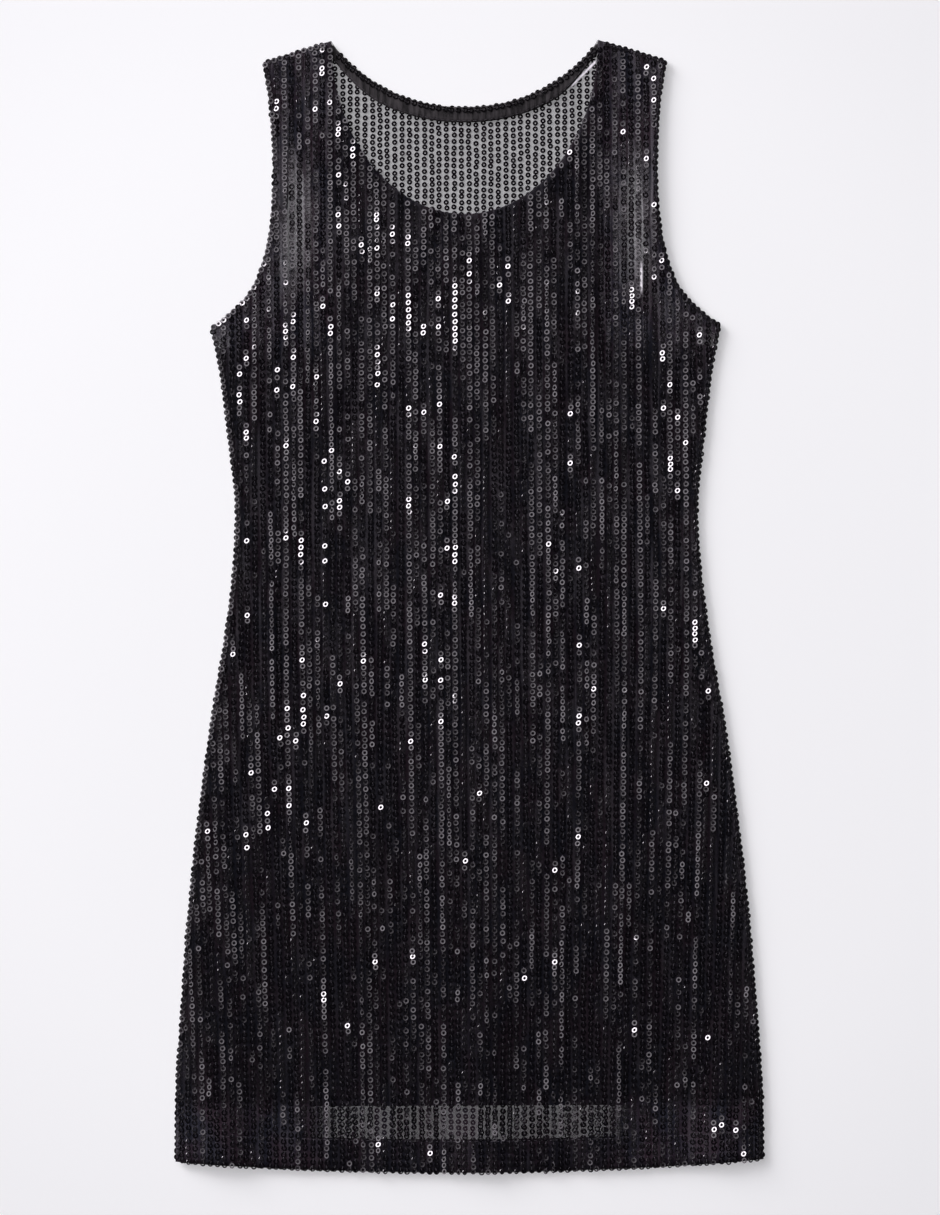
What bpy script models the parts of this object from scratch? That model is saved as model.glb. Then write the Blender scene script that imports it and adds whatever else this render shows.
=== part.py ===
"""Sleeveless mini dress in sequinned mesh over a plain lining, laid flat on its back.

Metres. +X is the viewer's right, +Y runs from the hem to the neck and +Z up from the surface.
The origin is under the middle of the dress, on the surface that it lies on.
Layers from the surface up: back shell, back lining and turnings, front lining and turnings,
front shell.
"""

import math

import bpy
import numpy as np

MM = 0.001

# Driving sizes, in metres. A height is measured up the dress from the lowest point of the hem.
LENGTH = 883.4 * MM  # hem to the neck points, where a shoulder seam meets the neck
UNDERARM = 660.3 * MM  # height of the side seam's top
SHOULDER_TIP = 867.0 * MM  # height of a shoulder seam's outer end
NECK_HALF = 103.7 * MM
FRONT_NECK_DROP = 135.0 * MM
BACK_NECK_DROP = 51.5 * MM
HEM_RISE = 9.8 * MM  # the hem's corners lie this much above its middle
HEM_CURVE_REACH = 120.0 * MM  # the hem's curve has died out at this height

SHELL_WALL = 1.2 * MM  # mesh with its sequins
INNER_WALL = 1.0 * MM  # linings and turned-in edges
LAYER_GAP = 0.3 * MM
SEAM_ROLL = 7.0 * MM  # the front shell comes down to the back shell over this width
HEM_TURNING = 27.0 * MM  # depth of the turned-up hem
EDGE_TURNING = 12.0 * MM  # width of the turned-in neck and armhole edges
TURNING_INSET = 0.4 * MM  # a turning stops this short of the shell's cut edge
TURNING_END = 9.5 * MM  # a turning stops this short of a seam

LINING_SIDE_INSET = 12.0 * MM
LINING_SHIFT = -2.0 * MM  # the lining has settled a little to the viewer's left
LINING_HEM = 53.4 * MM
LINING_HEM_DROP = 14.0 * MM  # the back lining hangs this much lower at its sides
LINING_UNDERARM = 653.5 * MM
LINING_SHOULDER_GAP = 8.5 * MM
BACK_LINING_NECK_HALF = 118.0 * MM
BACK_LINING_NECK_DROP = 138.0 * MM

# Exponents of a neck's curve: depth share and width share. Two and two make an ellipse.
FRONT_NECK_CURVE = (2.0, 2.0)
BACK_NECK_CURVE = (1.15, 2.2)

# The side seam in millimetres: height, half-width.
SIDE_SEAM = (
    (9.8, 229.0),
    (70.0, 228.0),
    (135.0, 223.5),
    (200.0, 218.5),
    (290.0, 208.5),
    (355.0, 199.5),
    (416.0, 189.2),
    (478.0, 181.5),
    (518.0, 179.6),
    (572.0, 185.0),
    (635.0, 193.2),
    (660.3, 198.5),
)

# The armhole in millimetres: height, half-width.
ARMHOLE = (
    (660.3, 198.5),
    (673.5, 181.7),
    (685.0, 170.5),
    (697.0, 163.2),
    (709.0, 158.6),
    (732.0, 153.0),
    (755.0, 150.4),
    (779.0, 149.4),
    (812.0, 150.2),
    (837.0, 152.4),
    (867.0, 156.8),
)

# The lining's deeper armhole in millimetres: height, half-width.
LINING_ARMHOLE = (
    (653.5, 183.0),
    (661.5, 171.0),
    (667.0, 160.0),
    (672.0, 148.0),
    (681.0, 132.0),
    (697.0, 121.0),
    (720.0, 116.5),
    (744.0, 116.5),
    (766.0, 120.5),
    (786.0, 128.0),
    (800.0, 132.5),
    (815.0, 135.5),
    (837.0, 138.4),
    (867.0, 143.0),
)

# Soft folds of the front in millimetres: across, foot, top, half-width, rise.
# A fold rises from the hem where its foot is at zero, and dies out towards its top.
FRONT_FOLDS = (
    (-196.0, 0.0, 190.0, 24.0, 4.2),
    (12.0, 0.0, 250.0, 22.0, 2.8),
    (200.0, 0.0, 170.0, 22.0, 3.6),
    (124.0, 60.0, 340.0, 17.0, 1.8),
    (-84.0, 150.0, 370.0, 18.0, 1.5),
)

# How finely each wall is divided.
FRONT_COLUMNS_PER_HALF = 14
BACK_COLUMNS_PER_HALF = 6
LINING_COLUMNS_PER_HALF = 6
ROLL_STEPS = (0.0, 0.33, 0.67, 1.0)  # shares of the seam roll's width
SKIRT_TOP = 635.0 * MM
SKIRT_BEND = 135.0 * MM  # below it the rows are closer, for the hem's curve and folds
CHEST_STEP = 8.0 * MM  # from the last underarm row to the first chest row
SMOOTH_UNDER = math.radians(40.0)


def smooth_step(share):
    """Rises from 0 to 1 with a level start and a level end."""
    share = min(1.0, max(0.0, share))
    return share * share * (3.0 - 2.0 * share)


def curve_through(rows):
    """A smooth curve through rows of (height, half-width) in millimetres, as a function in metres."""
    heights = [row[0] * MM for row in rows]
    halves = [row[1] * MM for row in rows]
    slopes = np.gradient(halves, heights)

    def half_width(height):
        height = min(max(height, heights[0]), heights[-1])
        at = min(int(np.searchsorted(heights, height, side="right")) - 1, len(heights) - 2)
        span = heights[at + 1] - heights[at]
        t = (height - heights[at]) / span
        rise, settle = smooth_step(t), t * (1.0 - t)
        return (
            halves[at] * (1.0 - rise)
            + halves[at + 1] * rise
            + span * settle * (slopes[at] * (1.0 - t) - slopes[at + 1] * t)
        )

    return half_width


side_seam_half = curve_through(SIDE_SEAM)
armhole_half = curve_through(ARMHOLE)
lining_armhole_half = curve_through(LINING_ARMHOLE)


def shell_half(height):
    """Half the dress's width: the side seam below the underarm, the armhole above it."""
    return side_seam_half(height) if height <= UNDERARM else armhole_half(height)


def lining_half(height):
    """Half the lining's width: a narrower side seam, then a deeper armhole."""
    if height <= LINING_UNDERARM:
        return side_seam_half(height) - LINING_SIDE_INSET
    return lining_armhole_half(height)


def neck_half(share, half, curve):
    """Half the neck's width at a share of its drop, from 0 at its lowest point to 1 at the shoulders."""
    depth_power, width_power = curve
    return half * (1.0 - (1.0 - share) ** depth_power) ** (1.0 / width_power)


def spaced(start, stop, count):
    """Count even steps from start up to, but without, stop."""
    return list(np.linspace(start, stop, count, endpoint=False))


def place(across, height):
    """A point of the dress in the part's frame."""
    return (across, height - LENGTH / 2.0)


def hem_curve(height, share):
    """The height of a row at a share of the half-width, bent up at its sides near the hem."""
    fade = max(0.0, 1.0 - height / HEM_CURVE_REACH)
    return height + HEM_RISE * share * share * fade


def column_insets(columns, roll):
    """Places across half a row: shares of the plain width, then insets of the seam roll."""
    plain = [(share, roll) for share in np.linspace(0.0, 1.0, columns + 1)]
    rolled = [(1.0, roll * (1.0 - step)) for step in ROLL_STEPS[1:]] if roll else []
    return plain + rolled


def body_rows(heights, half_of, columns, roll, shift=0.0, hem_of=hem_curve):
    """Rows of points from side to side, each at one height apart from the hem's curve."""
    right = column_insets(columns, roll)
    sides = [(-1, s, i) for s, i in reversed(right[1:])] + [(1, s, i) for s, i in right]
    rows = []
    for height in heights:
        row = []
        for sign, share, inset in sides:
            level = hem_of(height, share)
            half = half_of(level)
            moved = shift * share * lining_settling(level)
            row.append(place(sign * share * (half - inset) + moved, level))
        rows.append(row)
    return rows


def strap_rows(sign, shares, neck, half_of, columns, roll, shift=0.0):
    """Rows of points from a neck edge to an armhole edge, up towards the shoulder."""
    drop, neck_width, curve = neck
    bottom = LENGTH - drop
    rows = []
    for share in shares:
        inner_half = neck_half(share, neck_width, curve)
        inner_height = bottom + share * drop
        outer_height = bottom + share * (SHOULDER_TIP - bottom)
        outer_half = half_of(outer_height) + sign * shift * lining_settling(outer_height)
        row = []
        for part, inset in column_insets(columns, roll):
            across = inner_half + part * (outer_half - inset - inner_half)
            height = inner_height + part * (outer_height - inner_height)
            row.append(place(sign * across, height))
        rows.append(row)
    return rows


def lining_settling(height):
    """The share of its sideways shift that the lining takes: none at the shoulder, where it is sewn in."""
    return smooth_step((SHOULDER_TIP - height) / (SHOULDER_TIP - LINING_UNDERARM))


def strap_shares(count, drop, roll=0.0, stop=0.0):
    """Shares of a neck's drop, even in angle round the scoop, with rows through a seam roll."""
    turn = math.acos(max(roll, stop) / drop)
    shares = [1.0 - math.cos(turn * step / count) for step in range(count + 1)]
    rolled = [1.0 - roll * (1.0 - step) / drop for step in ROLL_STEPS[1:]] if roll else []
    return shares + rolled


def distance_to(point, path):
    """Shortest distance from a point to a path of straight stretches."""
    a = path[:-1]
    run = path[1:] - a
    along = np.clip(((point - a) * run).sum(1) / (run * run).sum(1), 0.0, 1.0)
    return float(np.sqrt(((a + run * along[:, None] - point) ** 2).sum(1)).min())


def sewn_edges():
    """The side seam and shoulder seam of the viewer's right half."""
    side = [place(side_seam_half(height), height) for height in np.linspace(HEM_RISE, UNDERARM, 40)]
    shoulder = [place(NECK_HALF, LENGTH), place(shell_half(SHOULDER_TIP), SHOULDER_TIP)]
    return [np.array(side), np.array(shoulder)]


SEWN_EDGES = sewn_edges()
BACK_LAYER = SHELL_WALL + LAYER_GAP
FRONT_LAYER = BACK_LAYER + INNER_WALL + LAYER_GAP
FRONT_SHELL_LAYER = FRONT_LAYER + INNER_WALL + LAYER_GAP


def fold_rise(across, height):
    """How far the front's soft folds lift it at a point: a bell across, fading up the fold."""
    rise = 0.0
    for middle, foot, top, half_width, lift in FRONT_FOLDS:
        if foot == 0.0:
            along = 1.0 - smooth_step(height / (top * MM))
        else:
            share = (height / MM - foot) / (top - foot)
            along = math.sin(math.pi * share) ** 2 if 0.0 < share < 1.0 else 0.0
        rise += lift * MM * along * math.exp(-(((across / MM - middle) / half_width) ** 2))
    return rise


def under_front(across, along):
    """Height of the front shell's inner face: down on the back shell at a seam, open inside."""
    nearest = min(distance_to(np.array((abs(across), along)), path) for path in SEWN_EDGES)
    opened = smooth_step(nearest / SEAM_ROLL)
    spread = FRONT_SHELL_LAYER - BACK_LAYER + fold_rise(across, along + LENGTH / 2.0)
    return BACK_LAYER + spread * opened


def under_front_turning(across, along):
    """A front turning hangs one gap under the front shell."""
    return under_front(across, along) - LAYER_GAP - INNER_WALL


def flat_at(height):
    """A flat layer at one height."""
    return lambda across, along: height


def cloth(name, sheets, under, wall, material):
    """A closed wall on one or more grids of points that share their edge points."""
    index, points, triangles = {}, [], []
    for sheet in sheets:
        keys = []
        for row in sheet:
            keys.append([])
            for point in row:
                key = (round(point[0], 6), round(point[1], 6))
                if key not in index:
                    index[key] = len(points)
                    points.append(point)
                keys[-1].append(index[key])
        for low, high in zip(keys, keys[1:]):
            for a, b, c, d in zip(low, low[1:], high[1:], high):
                triangles += [t for t in ((a, b, c), (a, c, d)) if len(set(t)) == 3]
    triangles = [facing_up(t, points) for t in triangles]
    lower = [(x, y, under(x, y)) for x, y in points]
    upper = [(x, y, z + wall) for x, y, z in lower]
    count = len(points)
    edges = {}
    for a, b, c in triangles:
        for edge in ((a, b), (b, c), (c, a)):
            edges[edge] = edges.get(edge, 0) + 1
    walls = []
    for a, b in edges:
        if (b, a) not in edges:
            walls += [(a, b, b + count), (a, b + count, a + count)]
    faces = triangles + [(c + count, b + count, a + count) for a, b, c in triangles]
    faces += [(a, c, b) for a, b, c in walls]
    mesh = bpy.data.meshes.new(name)
    mesh.from_pydata(upper + lower, [], faces)
    mesh.validate()
    mesh.shade_smooth()
    mesh.set_sharp_from_angle(angle=SMOOTH_UNDER)
    mesh.materials.append(material)
    piece = bpy.data.objects.new(name, mesh)
    bpy.context.scene.collection.objects.link(piece)
    return piece


def facing_up(triangle, points):
    """The triangle's corners in anticlockwise order from above."""
    (ax, ay), (bx, by), (cx, cy) = (points[i] for i in triangle)
    turn = (bx - ax) * (cy - ay) - (by - ay) * (cx - ax)
    return triangle if turn > 0 else (triangle[0], triangle[2], triangle[1])


def strip_beside(path, side):
    """A turning of two columns beside a path: the side is 1 to its left and -1 to its right."""
    path = np.array(path)
    run = np.gradient(path, axis=0)
    run /= np.linalg.norm(run, axis=1)[:, None]
    normal = side * np.stack([-run[:, 1], run[:, 0]], axis=1)
    near, far = path + normal * TURNING_INSET, path + normal * EDGE_TURNING
    return [[tuple(a), tuple((a + b) / 2.0), tuple(b)] for a, b in zip(near, far)]


def armhole_path(sign):
    """The armhole's edge from near the underarm to near the shoulder, closer where it bends."""
    first, last = UNDERARM + 0.6 * TURNING_END, SHOULDER_TIP - TURNING_END
    bend = first + 40.0 * MM
    heights = spaced(first, bend, 7) + list(np.linspace(bend, last, 11))
    return [place(sign * armhole_half(height), height) for height in heights]


def back_neck_path():
    """The back neck's edge from near one shoulder to near the other."""
    right = []
    for angle in np.linspace(0.0, math.radians(80.0), 12):
        share = 1.0 - math.cos(angle)
        half = neck_half(share, NECK_HALF, BACK_NECK_CURVE)
        right.append(place(half, LENGTH - BACK_NECK_DROP * (1.0 - share)))
    return [(-x, y) for x, y in reversed(right[1:])] + right


def finish(name, colour, roughness):
    """A plain material."""
    material = bpy.data.materials.new(name)
    material.use_nodes = True
    shader = material.node_tree.nodes["Principled BSDF"]
    shader.inputs["Base Color"].default_value = (*colour, 1.0)
    shader.inputs["Roughness"].default_value = roughness
    shader.inputs["Metallic"].default_value = 0.0
    return material


# Heights of the rows: the shells from the hem up, then the linings from theirs.
HEM_HEIGHTS = spaced(0.0, HEM_TURNING, 3)
SKIRT_HEIGHTS = spaced(HEM_TURNING, SKIRT_BEND, 4) + spaced(SKIRT_BEND, SKIRT_TOP, 17)
UNDERARM_HEIGHTS = [h * MM for h in (635.0, 650.0, 660.3, 663.0, 667.0, 673.5, 679.0, 685.0, 691.0)]
LINING_SKIRT_HEIGHTS = spaced(LINING_HEM, SKIRT_BEND, 3) + spaced(SKIRT_BEND, SKIRT_TOP, 14)
LINING_UNDERARM_HEIGHTS = [
    h * MM for h in (635.0, 645.0, 653.5, 657.0, 661.5, 667.0, 672.0, 676.0, 681.0, 688.0)
]


def chest_heights(underarm_heights, neck_drop, count):
    """Even rows from just above the underarm's rows to the neck's lowest point."""
    return list(np.linspace(underarm_heights[-1] + CHEST_STEP, LENGTH - neck_drop, count))


def build_shells(sequinned):
    """The front and back, alike but for the neck. Returns the front's rows of points."""
    # name, inner face, neck's drop, neck's curve, columns per half, chest rows, strap rows
    shapes = (
        ("back_shell", flat_at(0.0), BACK_NECK_DROP, BACK_NECK_CURVE, BACK_COLUMNS_PER_HALF, 8, 7),
        ("front_shell", under_front, FRONT_NECK_DROP, FRONT_NECK_CURVE, FRONT_COLUMNS_PER_HALF, 5, 9),
    )
    for name, under, drop, curve, columns, chest_rows, rows_per_strap in shapes:
        chest = chest_heights(UNDERARM_HEIGHTS, drop, chest_rows)
        heights = HEM_HEIGHTS + SKIRT_HEIGHTS + UNDERARM_HEIGHTS + chest
        body = body_rows(heights, shell_half, columns, SEAM_ROLL)
        shares = strap_shares(rows_per_strap, drop, roll=SEAM_ROLL)
        neck = (drop, NECK_HALF, curve)
        straps = [strap_rows(sign, shares, neck, shell_half, columns, SEAM_ROLL) for sign in (1, -1)]
        cloth(name, [body, *straps], under, SHELL_WALL, sequinned)
    return body


def front_lining_hem(height, share):
    """The front lining's hem is straight."""
    return height


def back_lining_hem(height, share):
    """The back lining's hem hangs lower at its sides: level in the middle half, then down a short slope."""
    fade = max(0.0, 1.0 - (height - LINING_HEM) / HEM_CURVE_REACH)
    return height - LINING_HEM_DROP * smooth_step((share - 0.5) / 0.3) * fade


def build_linings(plain):
    """Two plain layers, narrower than the shell, with a deeper armhole and a shorter hem."""
    front_neck = (FRONT_NECK_DROP + TURNING_INSET, NECK_HALF + TURNING_INSET, FRONT_NECK_CURVE)
    back_neck = (BACK_LINING_NECK_DROP, BACK_LINING_NECK_HALF, FRONT_NECK_CURVE)
    for name, layer, neck, hem in (
        ("front_lining", FRONT_LAYER, front_neck, front_lining_hem),
        ("back_lining", BACK_LAYER, back_neck, back_lining_hem),
    ):
        chest = chest_heights(LINING_UNDERARM_HEIGHTS, neck[0], 5)
        heights = LINING_SKIRT_HEIGHTS + LINING_UNDERARM_HEIGHTS + chest
        columns = (lining_half, LINING_COLUMNS_PER_HALF, 0.0, LINING_SHIFT)
        body = body_rows(heights, *columns, hem)
        shares = strap_shares(9, neck[0], stop=LINING_SHOULDER_GAP)
        straps = [strap_rows(sign, shares, neck, *columns) for sign in (1, -1)]
        cloth(name, [body, *straps], flat_at(layer), INNER_WALL, plain)


def build_turnings(front_body, folded):
    """Turned-in edges: the hem back and front, the back neck, and both armholes back and front."""
    skipped = len(ROLL_STEPS) - 1
    rows = [row[skipped:-skipped] for row in front_body[: len(HEM_HEIGHTS) + 1]]
    rows[0] = [(x, y + TURNING_INSET) for x, y in rows[0]]
    cloth("front_hem_turning", [rows], under_front_turning, INNER_WALL, folded)
    cloth("back_hem_turning", [rows], flat_at(BACK_LAYER), INNER_WALL, folded)
    neck = strip_beside(back_neck_path(), -1)
    cloth("back_neck_turning", [neck], flat_at(BACK_LAYER), INNER_WALL, folded)
    for side, sign in (("right", 1), ("left", -1)):
        strip = strip_beside(armhole_path(sign), sign)
        cloth(f"front_armhole_turning_{side}", [strip], under_front_turning, INNER_WALL, folded)
        cloth(f"back_armhole_turning_{side}", [strip], flat_at(BACK_LAYER), INNER_WALL, folded)


def main():
    for thing in list(bpy.data.objects):
        bpy.data.objects.remove(thing)
    sequinned = finish("sequinned_mesh", (0.016, 0.015, 0.018), 0.35)
    plain = finish("lining", (0.010, 0.010, 0.012), 0.85)
    folded = finish("turned_mesh", (0.014, 0.013, 0.016), 0.6)
    front_body = build_shells(sequinned)
    build_linings(plain)
    build_turnings(front_body, folded)


main()
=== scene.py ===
# %% [markdown]
# # A sequinned mini dress, laid flat
# The dress is two panels of sheer black mesh, sewn with rows of small black cup sequins, over a
# plain black lining. It lies on its back on a white table, and the camera looks straight down.
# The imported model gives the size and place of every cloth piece. This lesson replaces each of them
# with a thin shell on the same form, then sews on the sequins, the threads and the stitches.

import math

import bpy
import numpy as np
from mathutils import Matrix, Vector


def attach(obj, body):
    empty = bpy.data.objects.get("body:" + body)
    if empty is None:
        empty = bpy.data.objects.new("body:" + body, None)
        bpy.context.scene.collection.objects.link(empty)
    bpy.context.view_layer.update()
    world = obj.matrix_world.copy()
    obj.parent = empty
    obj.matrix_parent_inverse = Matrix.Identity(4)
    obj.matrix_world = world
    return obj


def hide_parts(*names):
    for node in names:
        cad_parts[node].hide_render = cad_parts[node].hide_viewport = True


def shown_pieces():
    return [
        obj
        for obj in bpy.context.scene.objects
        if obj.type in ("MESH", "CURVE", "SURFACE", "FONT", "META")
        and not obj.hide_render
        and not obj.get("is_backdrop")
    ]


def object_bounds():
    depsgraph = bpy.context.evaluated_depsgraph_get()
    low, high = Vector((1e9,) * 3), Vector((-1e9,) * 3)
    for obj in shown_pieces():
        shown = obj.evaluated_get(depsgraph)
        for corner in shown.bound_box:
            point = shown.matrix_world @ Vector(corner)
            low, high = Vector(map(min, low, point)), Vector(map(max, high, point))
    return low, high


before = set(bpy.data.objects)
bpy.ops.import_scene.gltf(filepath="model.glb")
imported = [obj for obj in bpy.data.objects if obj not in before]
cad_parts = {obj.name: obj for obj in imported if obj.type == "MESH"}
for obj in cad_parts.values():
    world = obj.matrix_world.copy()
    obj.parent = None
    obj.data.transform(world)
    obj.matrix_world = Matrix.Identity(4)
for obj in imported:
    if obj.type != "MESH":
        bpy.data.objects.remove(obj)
CAD_BOX = [list(corner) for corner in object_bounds()]
print("nodes to dress:", ", ".join(sorted(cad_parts)))

# %% [markdown]
# ## Sizes
# A cutter would draw this dress from a few heights and half-widths on a folded sheet. The lengths
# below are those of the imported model, and its box gives the overall length. A height is measured up
# the dress from the lowest point of the hem. All tables are in millimetres.

# %% Driving sizes
MM = 0.001
LENGTH = CAD_BOX[1][1] - CAD_BOX[0][1]
UNDERARM = 660.3 * MM
SHOULDER_TIP = 867.0 * MM
SHOULDER_HALF = 156.8 * MM
WAIST = 518.0 * MM
HEM_HALF = 229.0 * MM
NECK_HALF = 103.7 * MM
FRONT_NECK_DROP = 135.0 * MM
BACK_NECK_DROP = 51.5 * MM
FRONT_NECK_CURVE = (2.0, 2.0)  # depth and width powers: two and two make an ellipse
BACK_NECK_CURVE = (1.15, 2.2)
HEM_RISE = 9.8 * MM
HEM_CURVE_REACH = 120.0 * MM
HEM_TURNING = 27.0 * MM
EDGE_TURNING = 12.0 * MM
TURNING_INSET = 0.4 * MM
TURNING_END = 9.5 * MM  # an armhole turning stops this far from the shoulder
HEM_TURNING_END = 7.0 * MM
SEAM_ROLL = 4.0 * MM
SEAM_HEIGHT = 4.0 * MM  # the sewn edges stand a little off the table
MESH_HEM = 1.2 * MM  # the lowest sequins hang over the mesh's edge
LINING_SIDE_INSET = 12.0 * MM
LINING_SHIFT = -2.0 * MM
LINING_HEM = 53.4 * MM
LINING_HEM_DROP = 25.5 * MM
LINING_UNDERARM = 653.5 * MM
LINING_SHOULDER_GAP = 8.5 * MM
BACK_LINING_NECK_HALF = 118.0 * MM
BACK_LINING_NECK_DROP = 138.0 * MM

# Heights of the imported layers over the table.
BACK_LAYER = 1.5 * MM
FRONT_LAYER = 2.8 * MM
FRONT_SHELL_LAYER = 4.1 * MM
print(f"the dress is {LENGTH:.4f} m long")

# %% [markdown]
# ## The outline
# Both panels have the same outline, which a pattern maker would draw with a curved ruler through a
# few marks. A traced picture would give hundreds of points and no sizes, so each edge is a short
# table of marks instead, and a smooth curve runs through them.

# %% Tables of the outline: height, half-width
SIDE_SEAM = (
    (9.8, 229.0), (70.0, 228.0), (135.0, 223.5), (200.0, 218.5), (290.0, 208.5), (355.0, 199.5),
    (416.0, 189.2), (478.0, 181.5), (518.0, 179.6), (572.0, 185.0), (635.0, 193.2), (660.3, 198.5),
)
ARMHOLE = (
    (660.3, 198.5), (673.5, 181.7), (685.0, 170.5), (697.0, 163.2), (709.0, 158.6), (732.0, 153.0),
    (755.0, 150.4), (779.0, 149.4), (812.0, 150.2), (837.0, 152.4), (867.0, 156.8),
)
LINING_ARMHOLE = (
    (653.5, 183.0), (661.5, 171.0), (667.0, 160.0), (672.0, 148.0), (681.0, 132.0), (697.0, 121.0),
    (720.0, 116.5), (744.0, 116.5), (766.0, 120.5), (786.0, 128.0), (800.0, 132.5), (815.0, 135.5),
    (837.0, 138.4), (867.0, 143.0),
)


def smooth_step(share):
    """Rises from 0 to 1 with level ends: three squares less two cubes of the share."""
    share = np.clip(share, 0.0, 1.0)
    return share * share * (3.0 - 2.0 * share)


def curve_through(rows):
    """A curve through rows of height and half-width: between two rows, a cubic with their slopes."""
    heights, halves = (np.array(column) * MM for column in zip(*rows))
    slopes = np.gradient(halves, heights)

    def half_width(height):
        height = np.clip(height, heights[0], heights[-1])
        at = np.clip(np.searchsorted(heights, height, side="right") - 1, 0, len(heights) - 2)
        span = heights[at + 1] - heights[at]
        t = (height - heights[at]) / span
        rise = smooth_step(t)
        bend = span * t * (1.0 - t) * (slopes[at] * (1.0 - t) - slopes[at + 1] * t)
        return halves[at] * (1.0 - rise) + halves[at + 1] * rise + bend

    return half_width


side_half = curve_through(SIDE_SEAM)
armhole_half = curve_through(ARMHOLE)
lining_armhole_half = curve_through(LINING_ARMHOLE)


def shell_half(height):
    """Half the dress's width: the side seam below the underarm, the armhole above it."""
    return np.where(height <= UNDERARM, side_half(height), armhole_half(height))


def lining_half(height):
    """Half the lining's width: a narrower side seam, then a deeper armhole."""
    below = side_half(height) - LINING_SIDE_INSET
    return np.where(height <= LINING_UNDERARM, below, lining_armhole_half(height))


def neck_half(share, half, curve):
    """Half the neck's width, from 0 at its lowest point: half * (1 - (1 - share)^a)^(1/b)."""
    depth_power, width_power = curve
    return half * (1.0 - (1.0 - np.clip(share, 0.0, 1.0)) ** depth_power) ** (1.0 / width_power)


print(f"hem {2 * side_half(HEM_RISE):.3f} m, waist {2 * side_half(WAIST):.3f} m across")

# %% [markdown]
# ## The lie of the front
# On the table the front panel rests on everything below it, and comes down to the back panel at the
# sewn edges. Soft folds rise from the hem and die out higher up. They are placed one by one, so that
# their spacing stays as uneven as cloth leaves it. One height function of place carries the cloth,
# the sequins and the threads, so that they can't part.

# %% Folds and creases
# Folds, in millimetres: across, foot, top, half-width, rise.
FRONT_FOLDS = (
    (-196.0, 0.0, 190.0, 24.0, 4.2), (12.0, 0.0, 250.0, 22.0, 2.8), (200.0, 0.0, 170.0, 22.0, 3.6),
    (124.0, 60.0, 340.0, 17.0, 1.8), (-84.0, 150.0, 370.0, 18.0, 1.5),
)
# Small creases that only the thin cloth shows, in the same columns.
FRONT_CREASES = (
    (-150.0, 300.0, 520.0, 9.0, 0.5), (-46.0, 420.0, 640.0, 12.0, 0.6), (58.0, 500.0, 700.0, 10.0, 0.5),
    (152.0, 380.0, 560.0, 11.0, 0.7), (-118.0, 40.0, 210.0, 13.0, 0.7), (70.0, 20.0, 190.0, 12.0, 0.6),
    (135.0, 664.0, 760.0, 5.0, 1.2), (-134.0, 672.0, 752.0, 7.0, 0.6), (91.0, 735.0, 800.0, 4.0, 0.7),
    (152.0, 680.0, 880.0, 9.0, 1.8), (74.0, 0.0, 60.0, 20.0, -1.0), (-94.0, 0.0, 60.0, 22.0, -1.0),
)
BACK_CREASES = (
    (-60.0, 660.0, 830.0, 10.0, 0.35), (22.0, 700.0, 840.0, 8.0, 0.3), (84.0, 800.0, 868.0, 5.0, 0.8),
    (-120.0, 100.0, 420.0, 14.0, 0.3), (40.0, 60.0, 380.0, 12.0, 0.3), (150.0, 240.0, 500.0, 10.0, 0.3),
)


print("folds and creases:", len(FRONT_FOLDS) + len(FRONT_CREASES) + len(BACK_CREASES))


# %% Height of the front over the table
def lift(folds, x, y):
    """How far a table of folds lifts a point: a bell across each fold, fading along it."""
    height = y + LENGTH / 2.0
    rise = np.zeros(np.broadcast(x, y).shape)
    for across, foot, top, half_width, lift_mm in folds:
        share = (height / MM - foot) / (top - foot)
        swell = np.sin(np.pi * np.clip(share, 0.0, 1.0)) ** 2
        fading = 1.0 - smooth_step(share)
        along = fading if foot == 0.0 else swell
        rise = rise + lift_mm * MM * along * np.exp(-(((x / MM - across) / half_width) ** 2))
    return rise


def distance_to(x, y, path):
    """Shortest distance from points to a path of straight stretches."""
    start, run = path[:-1], np.diff(path, axis=0)
    gap = np.stack([x, y], axis=-1)[..., None, :] - start
    along = np.clip((gap * run).sum(-1) / (run * run).sum(-1), 0.0, 1.0)
    return np.sqrt(((gap - run * along[..., None]) ** 2).sum(-1)).min(-1)


SEAM_HEIGHTS = np.linspace(HEM_RISE, UNDERARM, 40)
SIDE_PATH = np.stack([side_half(SEAM_HEIGHTS), SEAM_HEIGHTS - LENGTH / 2.0], axis=1)
SHOULDER_PATH = np.array([(NECK_HALF, LENGTH / 2.0), (SHOULDER_HALF, SHOULDER_TIP - LENGTH / 2.0)])


def seam_distance(x, y):
    """Distance to the nearest side or shoulder seam."""
    return np.minimum(distance_to(np.abs(x), y, SIDE_PATH), distance_to(np.abs(x), y, SHOULDER_PATH))


def under_front(x, y):
    """Height of the front's inner face: on the back at a seam, open inside, lifted by the folds."""
    opened = smooth_step(seam_distance(x, y) / SEAM_ROLL)
    spread = FRONT_SHELL_LAYER - SEAM_HEIGHT + lift(FRONT_FOLDS, x, y) + lift(FRONT_CREASES, x, y)
    return SEAM_HEIGHT + spread * opened


print(f"highest fold {1000 * under_front(np.array(-0.196), np.array(-LENGTH / 2)):.1f} mm over the table")

# %% [markdown]
# ## Cloth as grids
# A panel is a surface of two parameters. Across the body, one runs from -1 at the left seam to 1 at
# the right, and the other is the height. Above the neck's lowest point the panel parts into two
# straps, and there the first parameter runs from the neck's edge to the armhole's. The straps' first
# rows use the points of the body's last row, so the panel is one cloth without a seam.

# %% Grids of the body and the straps
CLOTH_WALL = 0.3 * MM


def body_grid(heights, shares, half_of, shift, hem_of):
    """Points of the body: across = share * half-width + shift, up = the hem's curve at that share."""
    share, height = np.meshgrid(shares, heights)
    bent = hem_of(height, np.abs(share))
    return share * half_of(bent) + shift(bent) * np.abs(share), bent - LENGTH / 2.0


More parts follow.
